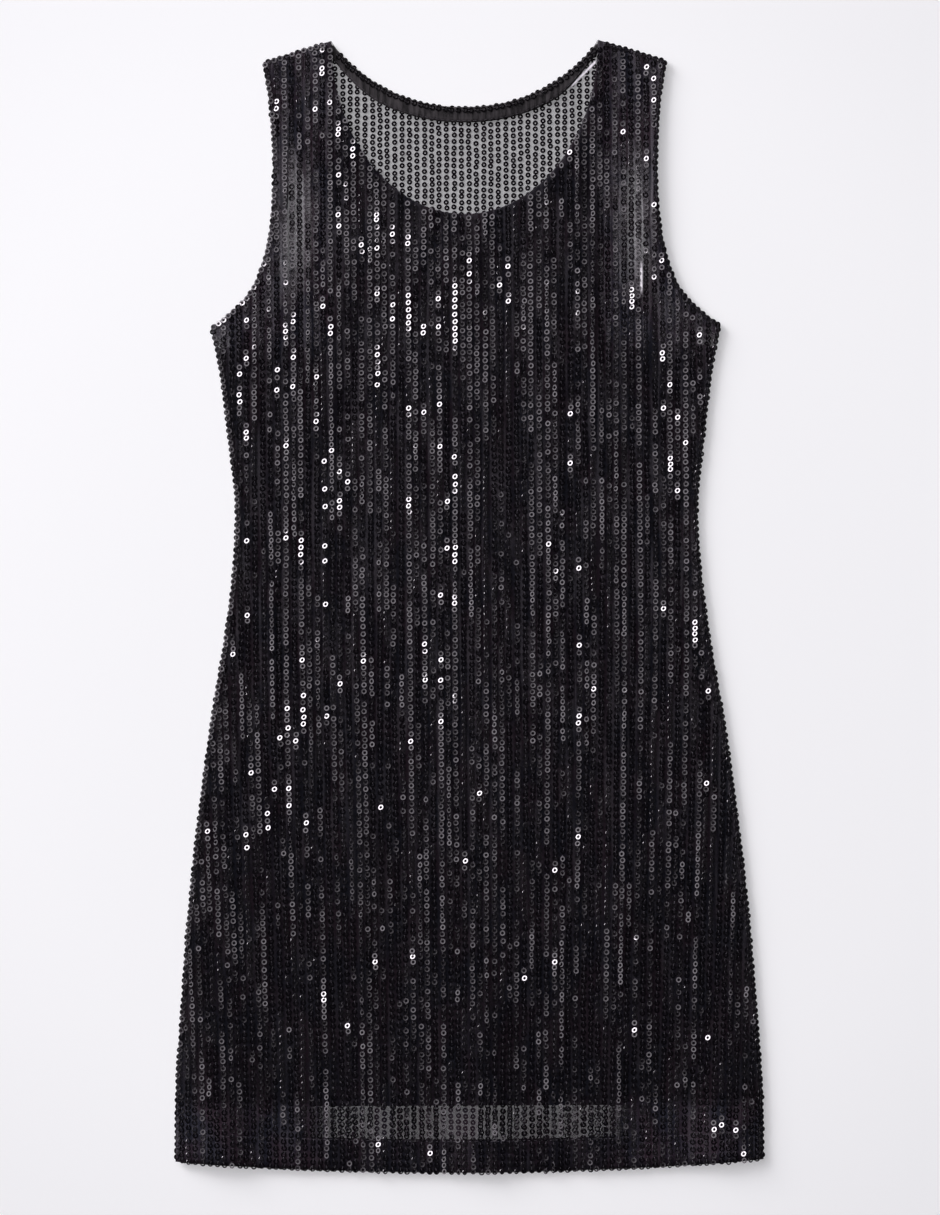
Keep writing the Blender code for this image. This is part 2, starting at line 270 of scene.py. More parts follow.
def strap_grid(sign, rises, shares, neck, half_of, shift):
    """Points of a strap: straight runs from the neck's edge to the armhole's, one at each rise."""
    drop, width, curve = neck
    bottom = LENGTH - drop
    share, rise = np.meshgrid(shares, rises)
    inner_x, inner_y = neck_half(rise, width, curve), bottom + rise * drop
    outer_y = bottom + rise * (SHOULDER_TIP - bottom)
    outer_x = half_of(outer_y) + sign * shift(outer_y)
    x = inner_x + share * (outer_x - inner_x)
    return sign * x, inner_y + share * (outer_y - inner_y) - LENGTH / 2.0


def quads(index):
    """Faces of a grid of point numbers, as rows of four."""
    corners = (index[:-1, :-1], index[:-1, 1:], index[1:, 1:], index[1:, :-1])
    return np.stack(corners, axis=-1).reshape(-1, 4)


print(f"cloth {CLOTH_WALL / MM:.1f} mm thick")

# %% [markdown]
# ### One closed shell
# Cloth has two sides, and a single sheet of faces would have no thickness at its edge. A Solidify
# modifier would add the second side along the normals, which shifts the edge of a bent sheet. Here
# the second side is the first one moved straight up by the cloth's thickness, so that the outline
# stays exact, and a band of faces closes the rim.

# %% From grids to one closed shell
def new_piece(name, points, faces, smooth=True):
    """A mesh object from an array of points and a list of faces."""
    mesh = bpy.data.meshes.new(name)
    mesh.from_pydata(points, [], faces)
    if smooth:
        mesh.shade_smooth()
    piece = bpy.data.objects.new(name, mesh)
    bpy.context.scene.collection.objects.link(piece)
    return piece


def thin_shell(name, grids, joined, height_of, wall=CLOTH_WALL):
    """A closed cloth shell over welded grids: the height function is its lower face."""
    x = np.concatenate([grid[0].ravel() for grid in grids])
    y = np.concatenate([grid[1].ravel() for grid in grids])
    start, numbers = 0, []
    for x_grid, _ in grids:
        numbers.append(start + np.arange(x_grid.size).reshape(x_grid.shape))
        start += x_grid.size
    if joined:
        middle = numbers[0].shape[1] // 2
        numbers[1][0] = numbers[0][-1, middle:]
        numbers[2][0] = numbers[0][-1, middle::-1]
    faces = np.concatenate([quads(index) for index in numbers])
    corner_x, corner_y = x[faces], y[faces]  # twice a face's area tells which way round it runs
    turn = (corner_x * np.roll(corner_y, -1, 1) - np.roll(corner_x, -1, 1) * corner_y).sum(1)
    faces = faces[np.abs(turn) > 1e-12]
    turn = turn[np.abs(turn) > 1e-12]
    faces[turn < 0] = faces[turn < 0][:, ::-1]
    used, faces = np.unique(faces, return_inverse=True)
    faces = faces.reshape(-1, 4)
    x, y = x[used], y[used]
    z = height_of(x, y)
    lower, upper = np.stack([x, y, z], 1), np.stack([x, y, z + wall], 1)
    count = len(used)
    edges = np.stack([faces, np.roll(faces, -1, 1)], -1).reshape(-1, 2)
    code, back = edges[:, 0] * count + edges[:, 1], edges[:, 1] * count + edges[:, 0]
    rim = edges[~np.isin(code, back)]  # edges that no neighbour shares
    sides = np.stack([rim[:, 0], rim[:, 0] + count, rim[:, 1] + count, rim[:, 1]], 1)
    faces = np.concatenate([faces, sides, faces[:, ::-1] + count])
    return new_piece(name, np.concatenate([upper, lower]), faces.tolist())


print("faces of a grid of 3 by 4 points:", len(quads(np.arange(12).reshape(3, 4))))

# %% [markdown]
# ## Panels and linings
# The maker cuts a front and a back from the mesh, and a shorter and narrower pair from jersey. Four
# calls of one function make them, each with its own neck, hem and height over the table. The rows
# are closest at the underarm, where the outline turns most.

# %% Hems, and how far a cloth has shifted
def no_shift(height):
    """The shell lies straight."""
    return 0.0 * height


def lining_shift(height):
    """The lining has settled to one side, less and less towards the shoulder where it is sewn in."""
    return LINING_SHIFT * smooth_step((SHOULDER_TIP - height) / (SHOULDER_TIP - LINING_UNDERARM))


def shell_hem(height, share):
    """The hem's corners lie higher than its middle, by the square of the share."""
    return height + HEM_RISE * share * share * np.clip(1.0 - height / HEM_CURVE_REACH, 0.0, 1.0)


def front_lining_hem(height, share):
    """The front lining's hem is straight."""
    return height + 0.0 * share


def back_lining_hem(height, share):
    """The back lining's hem hangs lower at its sides."""
    fade = np.clip(1.0 - (height - LINING_HEM) / HEM_CURVE_REACH, 0.0, 1.0)
    return height - LINING_HEM_DROP * smooth_step((share - 0.56) / 0.15) * fade


print(f"back lining's hem hangs {LINING_HEM_DROP / MM:.1f} mm lower at its sides")


# %% Rows and columns of a panel
def toward_edge(count, sharp):
    """Shares from -1 to 1, closer together towards the edges: part even, part a sine of them."""
    even = np.linspace(-1.0, 1.0, 2 * count + 1)
    return (1.0 - sharp) * even + sharp * np.sin(even * math.pi / 2.0)


def panel_grids(hem, top, neck, half_of, shift, hem_of, columns, step, stop=0.0):
    """The body's grid and the two straps', with rows about a step apart."""
    armpit = [h * MM for h in (655.0, 658.0, 660.3, 663.0, 667.0, 671.0, 676.0, 682.0, 690.0, 698.0)]
    skirt = np.linspace(hem, armpit[0], max(2, round((armpit[0] - hem) / step)), endpoint=False)
    chest = np.linspace(armpit[-1], top, max(3, round((top - armpit[-1]) / step)))[1:]
    heights = np.concatenate([skirt, armpit, chest])
    shares = toward_edge(columns, 0.6)
    turn = np.linspace(0.0, math.acos(stop / neck[0]), 30)
    rises = 1.0 - np.cos(turn)
    body = body_grid(heights, shares, half_of, shift, hem_of)
    right, left = (strap_grid(sign, rises, shares[columns:], neck, half_of, shift) for sign in (1, -1))
    return [body, right, left]


print("columns towards an edge:", np.round(toward_edge(3, 0.6), 2))

# %% Necks and layers
FRONT_NECK = (FRONT_NECK_DROP, NECK_HALF, FRONT_NECK_CURVE)
BACK_NECK = (BACK_NECK_DROP, NECK_HALF, BACK_NECK_CURVE)
FRONT_LINING_NECK = (FRONT_NECK_DROP + TURNING_INSET, NECK_HALF + TURNING_INSET, FRONT_NECK_CURVE)
BACK_LINING_NECK = (BACK_LINING_NECK_DROP, BACK_LINING_NECK_HALF, FRONT_NECK_CURVE)
FRONT_CLOTH_RISE = 0.15 * MM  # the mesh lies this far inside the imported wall
BACK_CLOTH_RISE = 0.75 * MM
BACK_SEAM_REACH = 6.0 * MM  # the back starts to rise this far from a seam
SEAM_GAP = 0.5 * MM
BACK_SEAM_RISE = SEAM_HEIGHT - SEAM_GAP - BACK_CLOTH_RISE
LINING_RISE = 0.3 * MM
TURNING_RISE = 0.25 * MM


def front_cloth(x, y):
    """Lower face of the front mesh."""
    return under_front(x, y) + FRONT_CLOTH_RISE


def back_cloth(x, y):
    """Lower face of the back mesh: flat with faint creases, and up to the front at a seam."""
    near_seam = 1.0 - smooth_step(seam_distance(x, y) / BACK_SEAM_REACH)
    return BACK_CLOTH_RISE + lift(BACK_CREASES, x, y) + BACK_SEAM_RISE * near_seam


def flat_at(height):
    """A layer at one height with a faint ripple, so that it never looks like a board."""
    return lambda x, y: height + 0.1 * MM * np.sin(x / (23 * MM)) * np.sin(y / (41 * MM) + 1.0)


back_turning_height = flat_at(BACK_LAYER + TURNING_RISE)
print("layers over the table, in mm:", BACK_LAYER / MM, FRONT_LAYER / MM, FRONT_SHELL_LAYER / MM)

# %% The two panels and the two linings
shell_rows = dict(half_of=shell_half, shift=no_shift, hem_of=shell_hem)
front_mesh = thin_shell("front_mesh", panel_grids(
    MESH_HEM, LENGTH - FRONT_NECK_DROP, FRONT_NECK, **shell_rows, columns=34, step=7 * MM),
    True, front_cloth)
back_mesh = thin_shell("back_mesh", panel_grids(
    MESH_HEM, LENGTH - BACK_NECK_DROP, BACK_NECK, **shell_rows, columns=26, step=9 * MM),
    True, back_cloth)
front_lining = thin_shell("front_lining_cloth", panel_grids(
    LINING_HEM, LENGTH - FRONT_LINING_NECK[0], FRONT_LINING_NECK, lining_half, lining_shift,
    front_lining_hem, 22, 12 * MM, LINING_SHOULDER_GAP), True, flat_at(FRONT_LAYER + LINING_RISE))
back_lining = thin_shell("back_lining_cloth", panel_grids(
    LINING_HEM, LENGTH - BACK_LINING_NECK[0], BACK_LINING_NECK, lining_half, lining_shift,
    back_lining_hem, 22, 12 * MM, LINING_SHOULDER_GAP), True, flat_at(BACK_LAYER + LINING_RISE))
PANELS = (front_mesh, back_mesh, front_lining, back_lining)
print("panel faces:", {piece.name: len(piece.data.polygons) for piece in PANELS})

# %% [markdown]
# ## Turned edges
# The maker picked the sequins off a narrow strip along each edge, turned it to the inside and
# stitched it down. The strip shows through the mesh as a darker band. The seam allowances inside the
# shoulders and sides show in the same way. A band of darker colour in the mesh's material could
# stand for the fold, but a strip of its own is thick, casts shade and lies on the layer below. It is
# a grid too: one parameter runs along the edge and the other from the edge inwards.

# %% Strips along the edges
def strip_grid(path, side, width=EDGE_TURNING, across=5):
    """Points beside a path: path + left normal * side * distance, for distances up to the width."""
    run = np.gradient(path, axis=0)
    run /= np.linalg.norm(run, axis=1)[:, None]
    normal = side * np.stack([-run[:, 1], run[:, 0]], axis=1)
    widths = np.broadcast_to(width, len(path))[:, None]
    reach = TURNING_INSET + (widths - TURNING_INSET) * np.linspace(0.0, 1.0, across)
    points = path[:, None] + normal[:, None] * reach[..., None]
    return points[..., 0], points[..., 1]


def armhole_path(sign, start=0.6 * TURNING_END, end=TURNING_END, count=70):
    """The armhole's edge from near the underarm to near the shoulder, closer where it bends."""
    share = np.linspace(0.0, 1.0, count) ** 1.5
    height = UNDERARM + start + share * (SHOULDER_TIP - end - UNDERARM - start)
    return np.stack([sign * armhole_half(height), height - LENGTH / 2.0], axis=1)


def neck_path(neck, angle=87.0, count=90):
    """A neck's edge from one shoulder to the other, even in angle round the scoop."""
    drop, width, curve = neck
    turn = np.radians(np.linspace(-angle, angle, count))
    share = 1.0 - np.cos(turn)
    x = np.sign(turn) * neck_half(share, width, curve)
    return np.stack([x, LENGTH / 2.0 - drop * (1.0 - share)], axis=1)


FRONT_TURNING_DROP = 0.75 * MM


def front_turning_height(x, y):
    """A front turning lies just under the front mesh."""
    return under_front(x, y) - FRONT_TURNING_DROP


def on_back_mesh(x, y):
    """A seam allowance lies just clear of the back mesh."""
    return back_cloth(x, y) + 1.3 * CLOTH_WALL


def hem_grid(count=90, rows=5):
    """The turned-up hem: the shell's own rows, short of the side seams."""
    reach = 1.0 - (HEM_TURNING_END + TURNING_INSET) / HEM_HALF
    heights = np.linspace(MESH_HEM + TURNING_INSET, HEM_TURNING, rows)
    return body_grid(heights, np.linspace(-reach, reach, count), shell_half, no_shift, shell_hem)


print("points along an armhole:", len(armhole_path(1)))

# %% Neck, hem and armhole turnings
TURNING_WALL = 0.5 * MM
# The neck's fold has pulled narrow near the shoulders, the right one most.
BACK_NECK_PATH = neck_path(BACK_NECK)
toward_right = np.linspace(-1.0, 1.0, len(BACK_NECK_PATH))
pulled_right, pulled_left = (smooth_step((way * toward_right - 0.5) / 0.42) for way in (1.0, -1.0))
NECK_FOLD = 12.3 * MM * (1.0 - 0.52 * pulled_right - 0.36 * pulled_left)
back_neck_turning = thin_shell("back_neck_fold", [strip_grid(BACK_NECK_PATH, -1, NECK_FOLD)], False,
                               back_turning_height, TURNING_WALL)
front_hem = thin_shell("front_hem_fold", [hem_grid()], False, front_turning_height, TURNING_WALL)
back_hem = thin_shell("back_hem_fold", [hem_grid()], False, back_turning_height, TURNING_WALL)
armhole_turnings = {}
for side, sign in (("right", 1), ("left", -1)):
    strip = strip_grid(armhole_path(sign), sign)
    armhole_turnings[f"front_armhole_turning_{side}"] = thin_shell(
        f"front_armhole_fold_{side}", [strip], False, front_turning_height, TURNING_WALL)
    armhole_turnings[f"back_armhole_turning_{side}"] = thin_shell(
        f"back_armhole_fold_{side}", [strip], False, back_turning_height, TURNING_WALL)
print("turned edges:", 3 + len(armhole_turnings))

# %% Seam allowances
SHOULDER_ALLOWANCE = 10.0 * MM
SIDE_ALLOWANCE = 14.5 * MM
shoulder = SHOULDER_PATH[0] + np.linspace(0.01, 0.99, 12)[:, None] * (SHOULDER_PATH[1] - SHOULDER_PATH[0])
seam_edges = []
for side, sign in (("right", 1), ("left", -1)):
    for place, seam, inward, width in (("shoulder", shoulder, -sign, SHOULDER_ALLOWANCE),
                                       ("side", SIDE_PATH[1:-1], sign, SIDE_ALLOWANCE)):
        strip = strip_grid(seam * (sign, 1.0), inward, width)
        seam_edges.append(thin_shell(f"{place}_seam_{side}", [strip], False, on_back_mesh, CLOTH_WALL))
print("seam allowances:", len(seam_edges))

# %% [markdown]
# ## The camera and the light
# The light comes first, because the sequins are sewn to catch it. One soft box stands low at the
# upper left, and a pale tent surrounds the table. The tent is open above, round the lens, so a
# sequin that lies flat mirrors something dark and one that leans mirrors the pale wall.

# %% Camera over the table
FRAME_HEIGHT = 947.7 * MM  # what the picture shows of the table, up and down
CAMERA_HEIGHT = 3.0
SENSOR = 36.0 * MM
AIM = (2.3 * MM, -0.2 * MM)  # the picture's middle on the table
LEAN = math.radians(-0.2526)  # the dress leans this much in the picture

camera_data = bpy.data.cameras.new("camera")
camera_data.sensor_width = SENSOR / MM
camera_data.lens = SENSOR * CAMERA_HEIGHT / FRAME_HEIGHT / MM
camera = bpy.data.objects.new("camera", camera_data)
camera.location = (*AIM, CAMERA_HEIGHT)
camera.rotation_euler = (0.0, 0.0, LEAN)
bpy.context.scene.collection.objects.link(camera)
bpy.context.scene.camera = camera
print(f"lens {camera_data.lens:.1f} mm")

# %% Soft box and floor
KEY_AZIMUTH = math.radians(140.0)  # from +X towards +Y
KEY_ELEVATION = math.radians(23.0)
KEY_DISTANCE = 5.0
KEY_SIDE = 2.3
KEY_RADIANCE = 14.5


def soft_box(name, place, side, radiance):
    """A square area light that faces the table's middle: watts = pi * area * radiance."""
    data = bpy.data.lights.new(name, "AREA")
    data.size = side
    data.energy = math.pi * side * side * radiance
    light = bpy.data.objects.new(name, data)
    light.location = place
    light.rotation_euler = Vector(place).to_track_quat("Z", "Y").to_euler()
    light.visible_camera = False
    bpy.context.scene.collection.objects.link(light)


KEY_WAY = np.array([
    math.cos(KEY_ELEVATION) * math.cos(KEY_AZIMUTH),
    math.cos(KEY_ELEVATION) * math.sin(KEY_AZIMUTH),
    math.sin(KEY_ELEVATION),
])
KEY_PLACE = KEY_DISTANCE * KEY_WAY
soft_box("key", KEY_PLACE, KEY_SIDE, KEY_RADIANCE)
FLOOR_REACH = 12.0
corners = np.array([(-1.0, -1.0, 0.0), (1.0, -1.0, 0.0), (1.0, 1.0, 0.0), (-1.0, 1.0, 0.0)]) * FLOOR_REACH
floor = new_piece("floor", corners, [(0, 1, 2, 3)])
floor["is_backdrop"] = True
bpy.context.scene.view_settings.view_transform = "Standard"
print("key light at", np.round(KEY_PLACE, 2))

# %% [markdown]
# ## Shader maths as expressions
# A material is a graph of nodes, and writing one node a line soon hides the idea. The class below
# wraps a socket, so that `1 - mask * 0.5` adds the Math nodes for it. Every other node comes from
# one method, which takes the node's type, its settings and what goes into its sockets.

# %% A small language for shaders
class Value:
    """An output socket that Python's operators can work on."""

    def __init__(self, tree, socket):
        self.tree, self.socket = tree, socket

    def maths(self, operation, *values):
        """A Math node on this value and some others."""
        sockets = dict(enumerate((self, *values)))
        return add_node(self.tree, "ShaderNodeMath", {"operation": operation}, sockets)

    def __add__(self, other):
        return self.maths("ADD", other)

    def __sub__(self, other):
        return self.maths("SUBTRACT", other)

    def __rsub__(self, other):
        return self * -1.0 + other

    def __mul__(self, other):
        return self.maths("MULTIPLY", other)

    __radd__, __rmul__ = __add__, __mul__

    def between(self, low, high):
        """0 below low and 1 above high, with a smooth rise."""
        settings = {"interpolation_type": "SMOOTHSTEP"}
        return add_node(self.tree, "ShaderNodeMapRange", settings, {0: self, 1: low, 2: high})


print("operators of a value:", "+ - * and between")


# %% Nodes, materials and links
def add_node(tree, kind, settings, sockets, output=0):
    """Any node: its settings are set first, then its sockets get values or links."""
    node = tree.nodes.new(kind)
    stops = settings.pop("stops", None)
    for name, value in settings.items():
        setattr(node, name, value)
    for at, (place, colour) in enumerate(stops or ()):
        elements = node.color_ramp.elements
        stop = elements[at] if at < len(elements) else elements.new(place)
        stop.position, stop.color = place, (*colour, 1.0)
    for slot, value in sockets.items():
        if isinstance(value, Value):
            tree.links.new(value.socket, node.inputs[slot])
        else:
            node.inputs[slot].default_value = value
    return Value(tree, node.outputs[output])


def new_material(name, **constants):
    """A Principled material with its constant sockets set. Returns it with its shader node."""
    material = bpy.data.materials.new(name)
    material.use_nodes = True
    shader = material.node_tree.nodes["Principled BSDF"]
    for socket, value in constants.items():
        shader.inputs[socket.replace("_", " ")].default_value = value
    return material, shader


def feed(shader, socket, value):
    """Links a value to one of the shader's sockets."""
    shader.id_data.links.new(value.socket, shader.inputs[socket])


def mixed(tree, share, *colours):
    """A colour between two others, by a share from 0 to 1. Each is three numbers or a value."""
    first, second = (part if isinstance(part, Value) else (*part, 1.0) for part in colours)
    sockets = {0: share, 6: first, 7: second}
    return add_node(tree, "ShaderNodeMix", {"data_type": "RGBA"}, sockets, output=2)


def vector_maths(tree, operation, first, second, output="Vector"):
    """A Vector Math node on one or two vectors."""
    sockets = {0: first} if second is None else {0: first, 1: second}
    return add_node(tree, "ShaderNodeVectorMath", {"operation": operation}, sockets, output)


print("shader helpers ready")

# %% [markdown]
# ## The tent and the table
# A mirror shows what stands round it, so the world is built for the sequins more than for the
# table. Its light depends on direction alone: dark round the lens, pale at the sides, and brighter
# in a wide halo round the soft box. The table is smooth and white, with painted shade towards its
# corners. It is so bright that it has hardly any shading left, so it has a faint painted glow of its
# own, which lifts its shadows.

# %% The tent and the table
world = bpy.data.worlds.new("tent")
world.use_nodes = True
bpy.context.scene.world = world
sky = world.node_tree
direction = add_node(sky, "ShaderNodeTexCoord", {}, {}, output="Generated")
plan = vector_maths(sky, "MULTIPLY", direction, (1.0, 1.0, 0.0))
OPENING = (0.02, -0.06, 0.0)  # the dark opening's middle, a little towards the hem
reach = vector_maths(sky, "DISTANCE", plan, OPENING, "Value")
TENT_WALL = (  # distance from the opening's middle, grey
    (0.22, 0.03), (0.34, 0.12), (0.50, 0.45), (0.75, 0.62), (1.0, 0.62))
TENT_TINT = (0.985, 0.972, 1.0, 1.0)
WALL_LIGHT, LIT_SIDE, HALO = 0.14, 0.05, 2.0  # of the walls, more of it near the key, and the halo's
tent_stops = tuple((distance, (grey,) * 3) for distance, grey in TENT_WALL)
tent = add_node(sky, "ShaderNodeValToRGB", {"stops": tent_stops}, {0: reach})
to_key = vector_maths(sky, "DOT_PRODUCT", direction, KEY_WAY, "Value")
strength = tent * (WALL_LIGHT + to_key * LIT_SIDE) + to_key.between(0.62, 0.93) * HALO
sky.nodes["Background"].inputs["Color"].default_value = TENT_TINT
sky.links.new(strength.socket, sky.nodes["Background"].inputs["Strength"])

# Painted shade: the table's white is darker towards its corners.
MIDDLE_WHITE, CORNER_PAINTED_SHADE = (0.660, 0.653, 0.673), (0.585, 0.578, 0.600)
table_material, shader = new_material("white_table", Roughness=0.75,
                                      Emission_Color=(0.98, 0.97, 1.0, 1.0), Emission_Strength=0.41)
table = table_material.node_tree
spot = add_node(table, "ShaderNodeTexCoord", {}, {}, output="Object")
from_middle = vector_maths(table, "LENGTH", spot, None, "Value")
feed(shader, "Base Color", mixed(table, from_middle.between(0.38, 0.68), MIDDLE_WHITE, CORNER_PAINTED_SHADE))
table_material.cycles.emission_sampling = "NONE"  # its glow is too faint to be sampled as a lamp
floor.data.materials.append(table_material)
print("world nodes:", len(sky.nodes))

# %% [markdown]
# ## Sheer mesh
# The mesh is a fine knitted net. Its threads are black and its holes let the table through, so it
# could be cut with thousands of holes. At this scale they would only shimmer, so the net is in the
# Alpha socket: cells about a millimetre wide, more open in the middle than at their threads.

# %% Threads, dye and painted light of the sheer mesh
def stretched(tree, scales):
    """Noise on the piece's own coordinates, with a scale of its own along each axis."""
    place = add_node(tree, "ShaderNodeTexCoord", {}, {}, output="Object")
    scaled = vector_maths(tree, "MULTIPLY", place, scales)
    return add_node(tree, "ShaderNodeTexNoise", {}, {"Vector": scaled, "Scale": 1.0, "Detail": 2.0})


BLUE_BLACK, BROWN_BLACK = (0.019, 0.019, 0.030), (0.033, 0.020, 0.030)
LIT_BLACK = (0.140, 0.126, 0.150)  # painted sheen: streaks where the threads would catch the light
SHADED_BLACK = (0.012, 0.007, 0.013)  # painted shade: the back's mesh, which only shows in shade
# The mesh's Emission Strength serves the painted glow of its highlight streaks.
mesh_material, shader = new_material("sheer_mesh", Roughness=0.55, IOR=1.45, Specular_IOR_Level=0.12,
                                     Emission_Strength=1.0)
mesh_material.cycles.emission_sampling = "NONE"
tree = mesh_material.node_tree
place = add_node(tree, "ShaderNodeTexCoord", {}, {}, output="Object")
flat_net = {"feature": "DISTANCE_TO_EDGE", "voronoi_dimensions": "2D"}  # quicker than in the round
net = add_node(tree, "ShaderNodeTexVoronoi", flat_net, {"Vector": place, "Scale": 950.0})
thread = 1.0 - net.between(0.02, 0.22)
cloudy = stretched(tree, (52.0, 26.0, 20.0))
streaks = stretched(tree, (430.0, 16.0, 40.0)).between(0.42, 0.66)
dye = mixed(tree, cloudy.between(0.35, 0.65), BLUE_BLACK, BROWN_BLACK)
right, up, high = (add_node(tree, "ShaderNodeSeparateXYZ", {}, {0: place}, output=axis) for axis in "XYZ")
in_front = high.between(0.0032, 0.0040)
# Painted light: the lit colour is mixed in along the streaks, more of it up the dress, and the back's
# mesh gets the painted shade.
share = streaks * (0.24 + up.between(-0.33, 0.02) * 0.38)
dye_and_painted_light = mixed(tree, in_front, SHADED_BLACK, mixed(tree, share, dye, LIT_BLACK))
print("mesh nodes for its threads:", len(tree.nodes))

# %% [markdown]
# ### Where the mesh is not even, and painted light on it
# On the real dress the mesh lies in more layers at some places than at others. It is bunched beside
# the armholes, more open inside each bunch, and doubled at the hem, most at the hem's ends. Inside
# each bunch the threads get a painted sheen. A painted highlight streak with a painted glow runs by the
# neck, and a short one by the right armhole. Vertex colours could paint this, but bands along the
# axes need no map and can be moved by one number.
# The lengths here are in metres, from the middle of the dress.

# %% Bands of the mesh, its Alpha and its painted light
across = right.maths("ABSOLUTE")
bunched = across.between(0.100, 0.114) * up.between(0.19, 0.22)
opened = across.between(0.114, 0.130) * (1.0 - across.between(0.138, 0.150))
opened = opened * up.between(0.230, 0.290) * (1.0 - up.between(0.320, 0.370))
doubled = 1.0 - up.between(-0.395, -0.380)
ends = doubled * across.between(0.100, 0.142)
slant = up - right  # the painted highlight runs up to the right, along the neck
# Painted highlight: a pale, glowing streak by the neck, and a short one by the right armhole.
painted_highlight = slant.between(0.3208, 0.3226) * (1.0 - slant.between(0.3232, 0.3252))
painted_highlight = painted_highlight * right.between(0.080, 0.086) * (1.0 - right.between(0.101, 0.1035))
armhole_highlight = right.between(0.1352, 0.1368) * (1.0 - right.between(0.1368, 0.1384))
painted_highlight = painted_highlight + armhole_highlight * up.between(0.242, 0.250) * (1.0 - up.between(0.260, 0.272))
# Painted sheen: the highlight streaks and the inside of each bunch are mixed towards a pale grey.
painted_sheen = painted_highlight * 1.3 + opened * (0.10 + streaks * 0.26)
PAINTED_PALE = (0.84, 0.79, 0.86)
PAINTED_GLOW = (0.42, 0.40, 0.43)  # a painted glow, so that the highlight streaks shine
feed(shader, "Base Color", mixed(tree, painted_sheen, dye_and_painted_light, PAINTED_PALE))
cover = 0.20 + thread * 0.16 - in_front * 0.05 + (cloudy - 0.5) * 0.08 + bunched * (0.36 - opened * 0.28)
feed(shader, "Alpha", cover + doubled * 0.12 + ends * 0.5 + painted_highlight * (0.35 + streaks * 0.5))
feed(shader, "Emission Color", mixed(tree, painted_highlight, (0.0, 0.0, 0.0), PAINTED_GLOW))
bump = add_node(tree, "ShaderNodeBump", {}, {"Strength": 0.3, "Distance": 0.0002, "Height": thread})
feed(shader, "Normal", bump)
print("mesh nodes in all:", len(tree.nodes))

# %% [markdown]
# ## Lining and turned edges
# The lining is a plain black jersey: matt, with fine wales that run down the dress. A Wave texture
# gives the wales. The turned edges are mesh folded double, dull and nearly opaque, with short
# puckers across the fold, whose troughs have painted shade. At the back neck, where no front lies
# over them, the fold gets a lighter, painted-lit copy of its colour.

# %% Jersey
lining_material, shader = new_material("black_jersey", Base_Color=(0.0042, 0.0036, 0.0048, 1.0),
                                       Roughness=0.85, IOR=1.4, Specular_IOR_Level=0.05)
tree = lining_material.node_tree
place = add_node(tree, "ShaderNodeTexCoord", {}, {}, output="Object")
wales = add_node(tree, "ShaderNodeTexWave", {"bands_direction": "X"}, {
    "Vector": place, "Scale": 300.0, "Distortion": 0.6, "Detail": 1.0, "Detail Scale": 2.0}, output="Fac")
bump = add_node(tree, "ShaderNodeBump", {}, {"Strength": 0.4, "Distance": 0.00015, "Height": wales})
feed(shader, "Normal", bump)
print("jersey nodes:", len(tree.nodes))

# %% Turned mesh, and who wears what
turned_material, shader = new_material("turned_mesh", Roughness=0.7, IOR=1.45, Specular_IOR_Level=0.1)
tree = turned_material.node_tree
pucker = stretched(tree, (330.0, 60.0, 60.0))
# Painted shade in the puckers' troughs: the colour follows the same noise as the bump, and the neck's
# copy is painted lighter.
folded = mixed(tree, pucker.between(0.40, 0.75), (0.0060, 0.0054, 0.0070), (0.0290, 0.0255, 0.0310))
painted_lit_neck = mixed(tree, pucker.between(0.35, 0.70), (0.020, 0.0178, 0.0200), (0.068, 0.060, 0.066))
place = add_node(tree, "ShaderNodeTexCoord", {}, {}, output="Object")
right, up = (add_node(tree, "ShaderNodeSeparateXYZ", {}, {0: place}, output=axis) for axis in "XY")
bare = up.between(0.33, 0.35) * (1.0 - right.maths("ABSOLUTE").between(0.104, 0.112))  # at the neck, painted lighter where no front shades the fold
feed(shader, "Base Color", mixed(tree, bare, folded, painted_lit_neck))
feed(shader, "Alpha", 0.86 + pucker * 0.12)
bump = add_node(tree, "ShaderNodeBump", {}, {"Strength": 0.6, "Distance": 0.0006, "Height": pucker})
feed(shader, "Normal", bump)

for piece in (front_mesh, back_mesh):
    piece.data.materials.append(mesh_material)
for piece in (front_lining, back_lining):
    piece.data.materials.append(lining_material)
TURNED = (back_neck_turning, front_hem, back_hem, *armhole_turnings.values(), *seam_edges)
for piece in TURNED:
    piece.data.materials.append(turned_material)
print("cloth pieces with a material:", len(PANELS) + len(TURNED))

# %% [markdown]
# ## Sequins
# A cup sequin is a pressed disc with a hole: a flat ring with a steeper rim. The machine sews them
# in columns that run up the dress. Instances on points could place and turn them, but a part that
# goes on to other programs has to leave as plain meshes. So places come first, then leans, and then
# one array of points holds them all.

# %% Sizes of the sequins
SEQUIN_RADIUS = 2.3 * MM
SEQUIN_HOLE = 1.2 * MM
SEQUIN_FLAT = 2.18 * MM  # radius where the flat ring ends and the rim begins
SEQUIN_RIM = 0.16 * MM
BACK_SEQUIN_RADIUS = 2.2 * MM  # the back's sequins are cupped more, so they look smaller
BACK_SEQUIN_HOLE = 0.62 * MM
FRONT_ROW_PITCH = 5.1 * MM
BACK_ROW_PITCH = 4.72 * MM
FRONT_COLUMN_PITCH = 5.68 * MM
BACK_COLUMN_PITCH = 5.77 * MM
HALF_COLUMNS = 44  # columns on each side of the middle, more than there is room for
ROWS = 190
chance = np.random.default_rng(41)
print(f"front rings {2 * SEQUIN_RADIUS / MM:.1f} mm across, {FRONT_ROW_PITCH / MM:.1f} mm apart")


# %% Where the sequins sit
def neck_height(x, neck):
    """Height of a neck's edge: its curve solved for depth, (1 - (x / half)^b)^(1/a)."""
    drop, width, (depth_power, width_power) = neck
    part = np.clip(np.abs(x) / width, 0.0, 1.0)
    return LENGTH - drop * (1.0 - part ** width_power) ** (1.0 / depth_power)


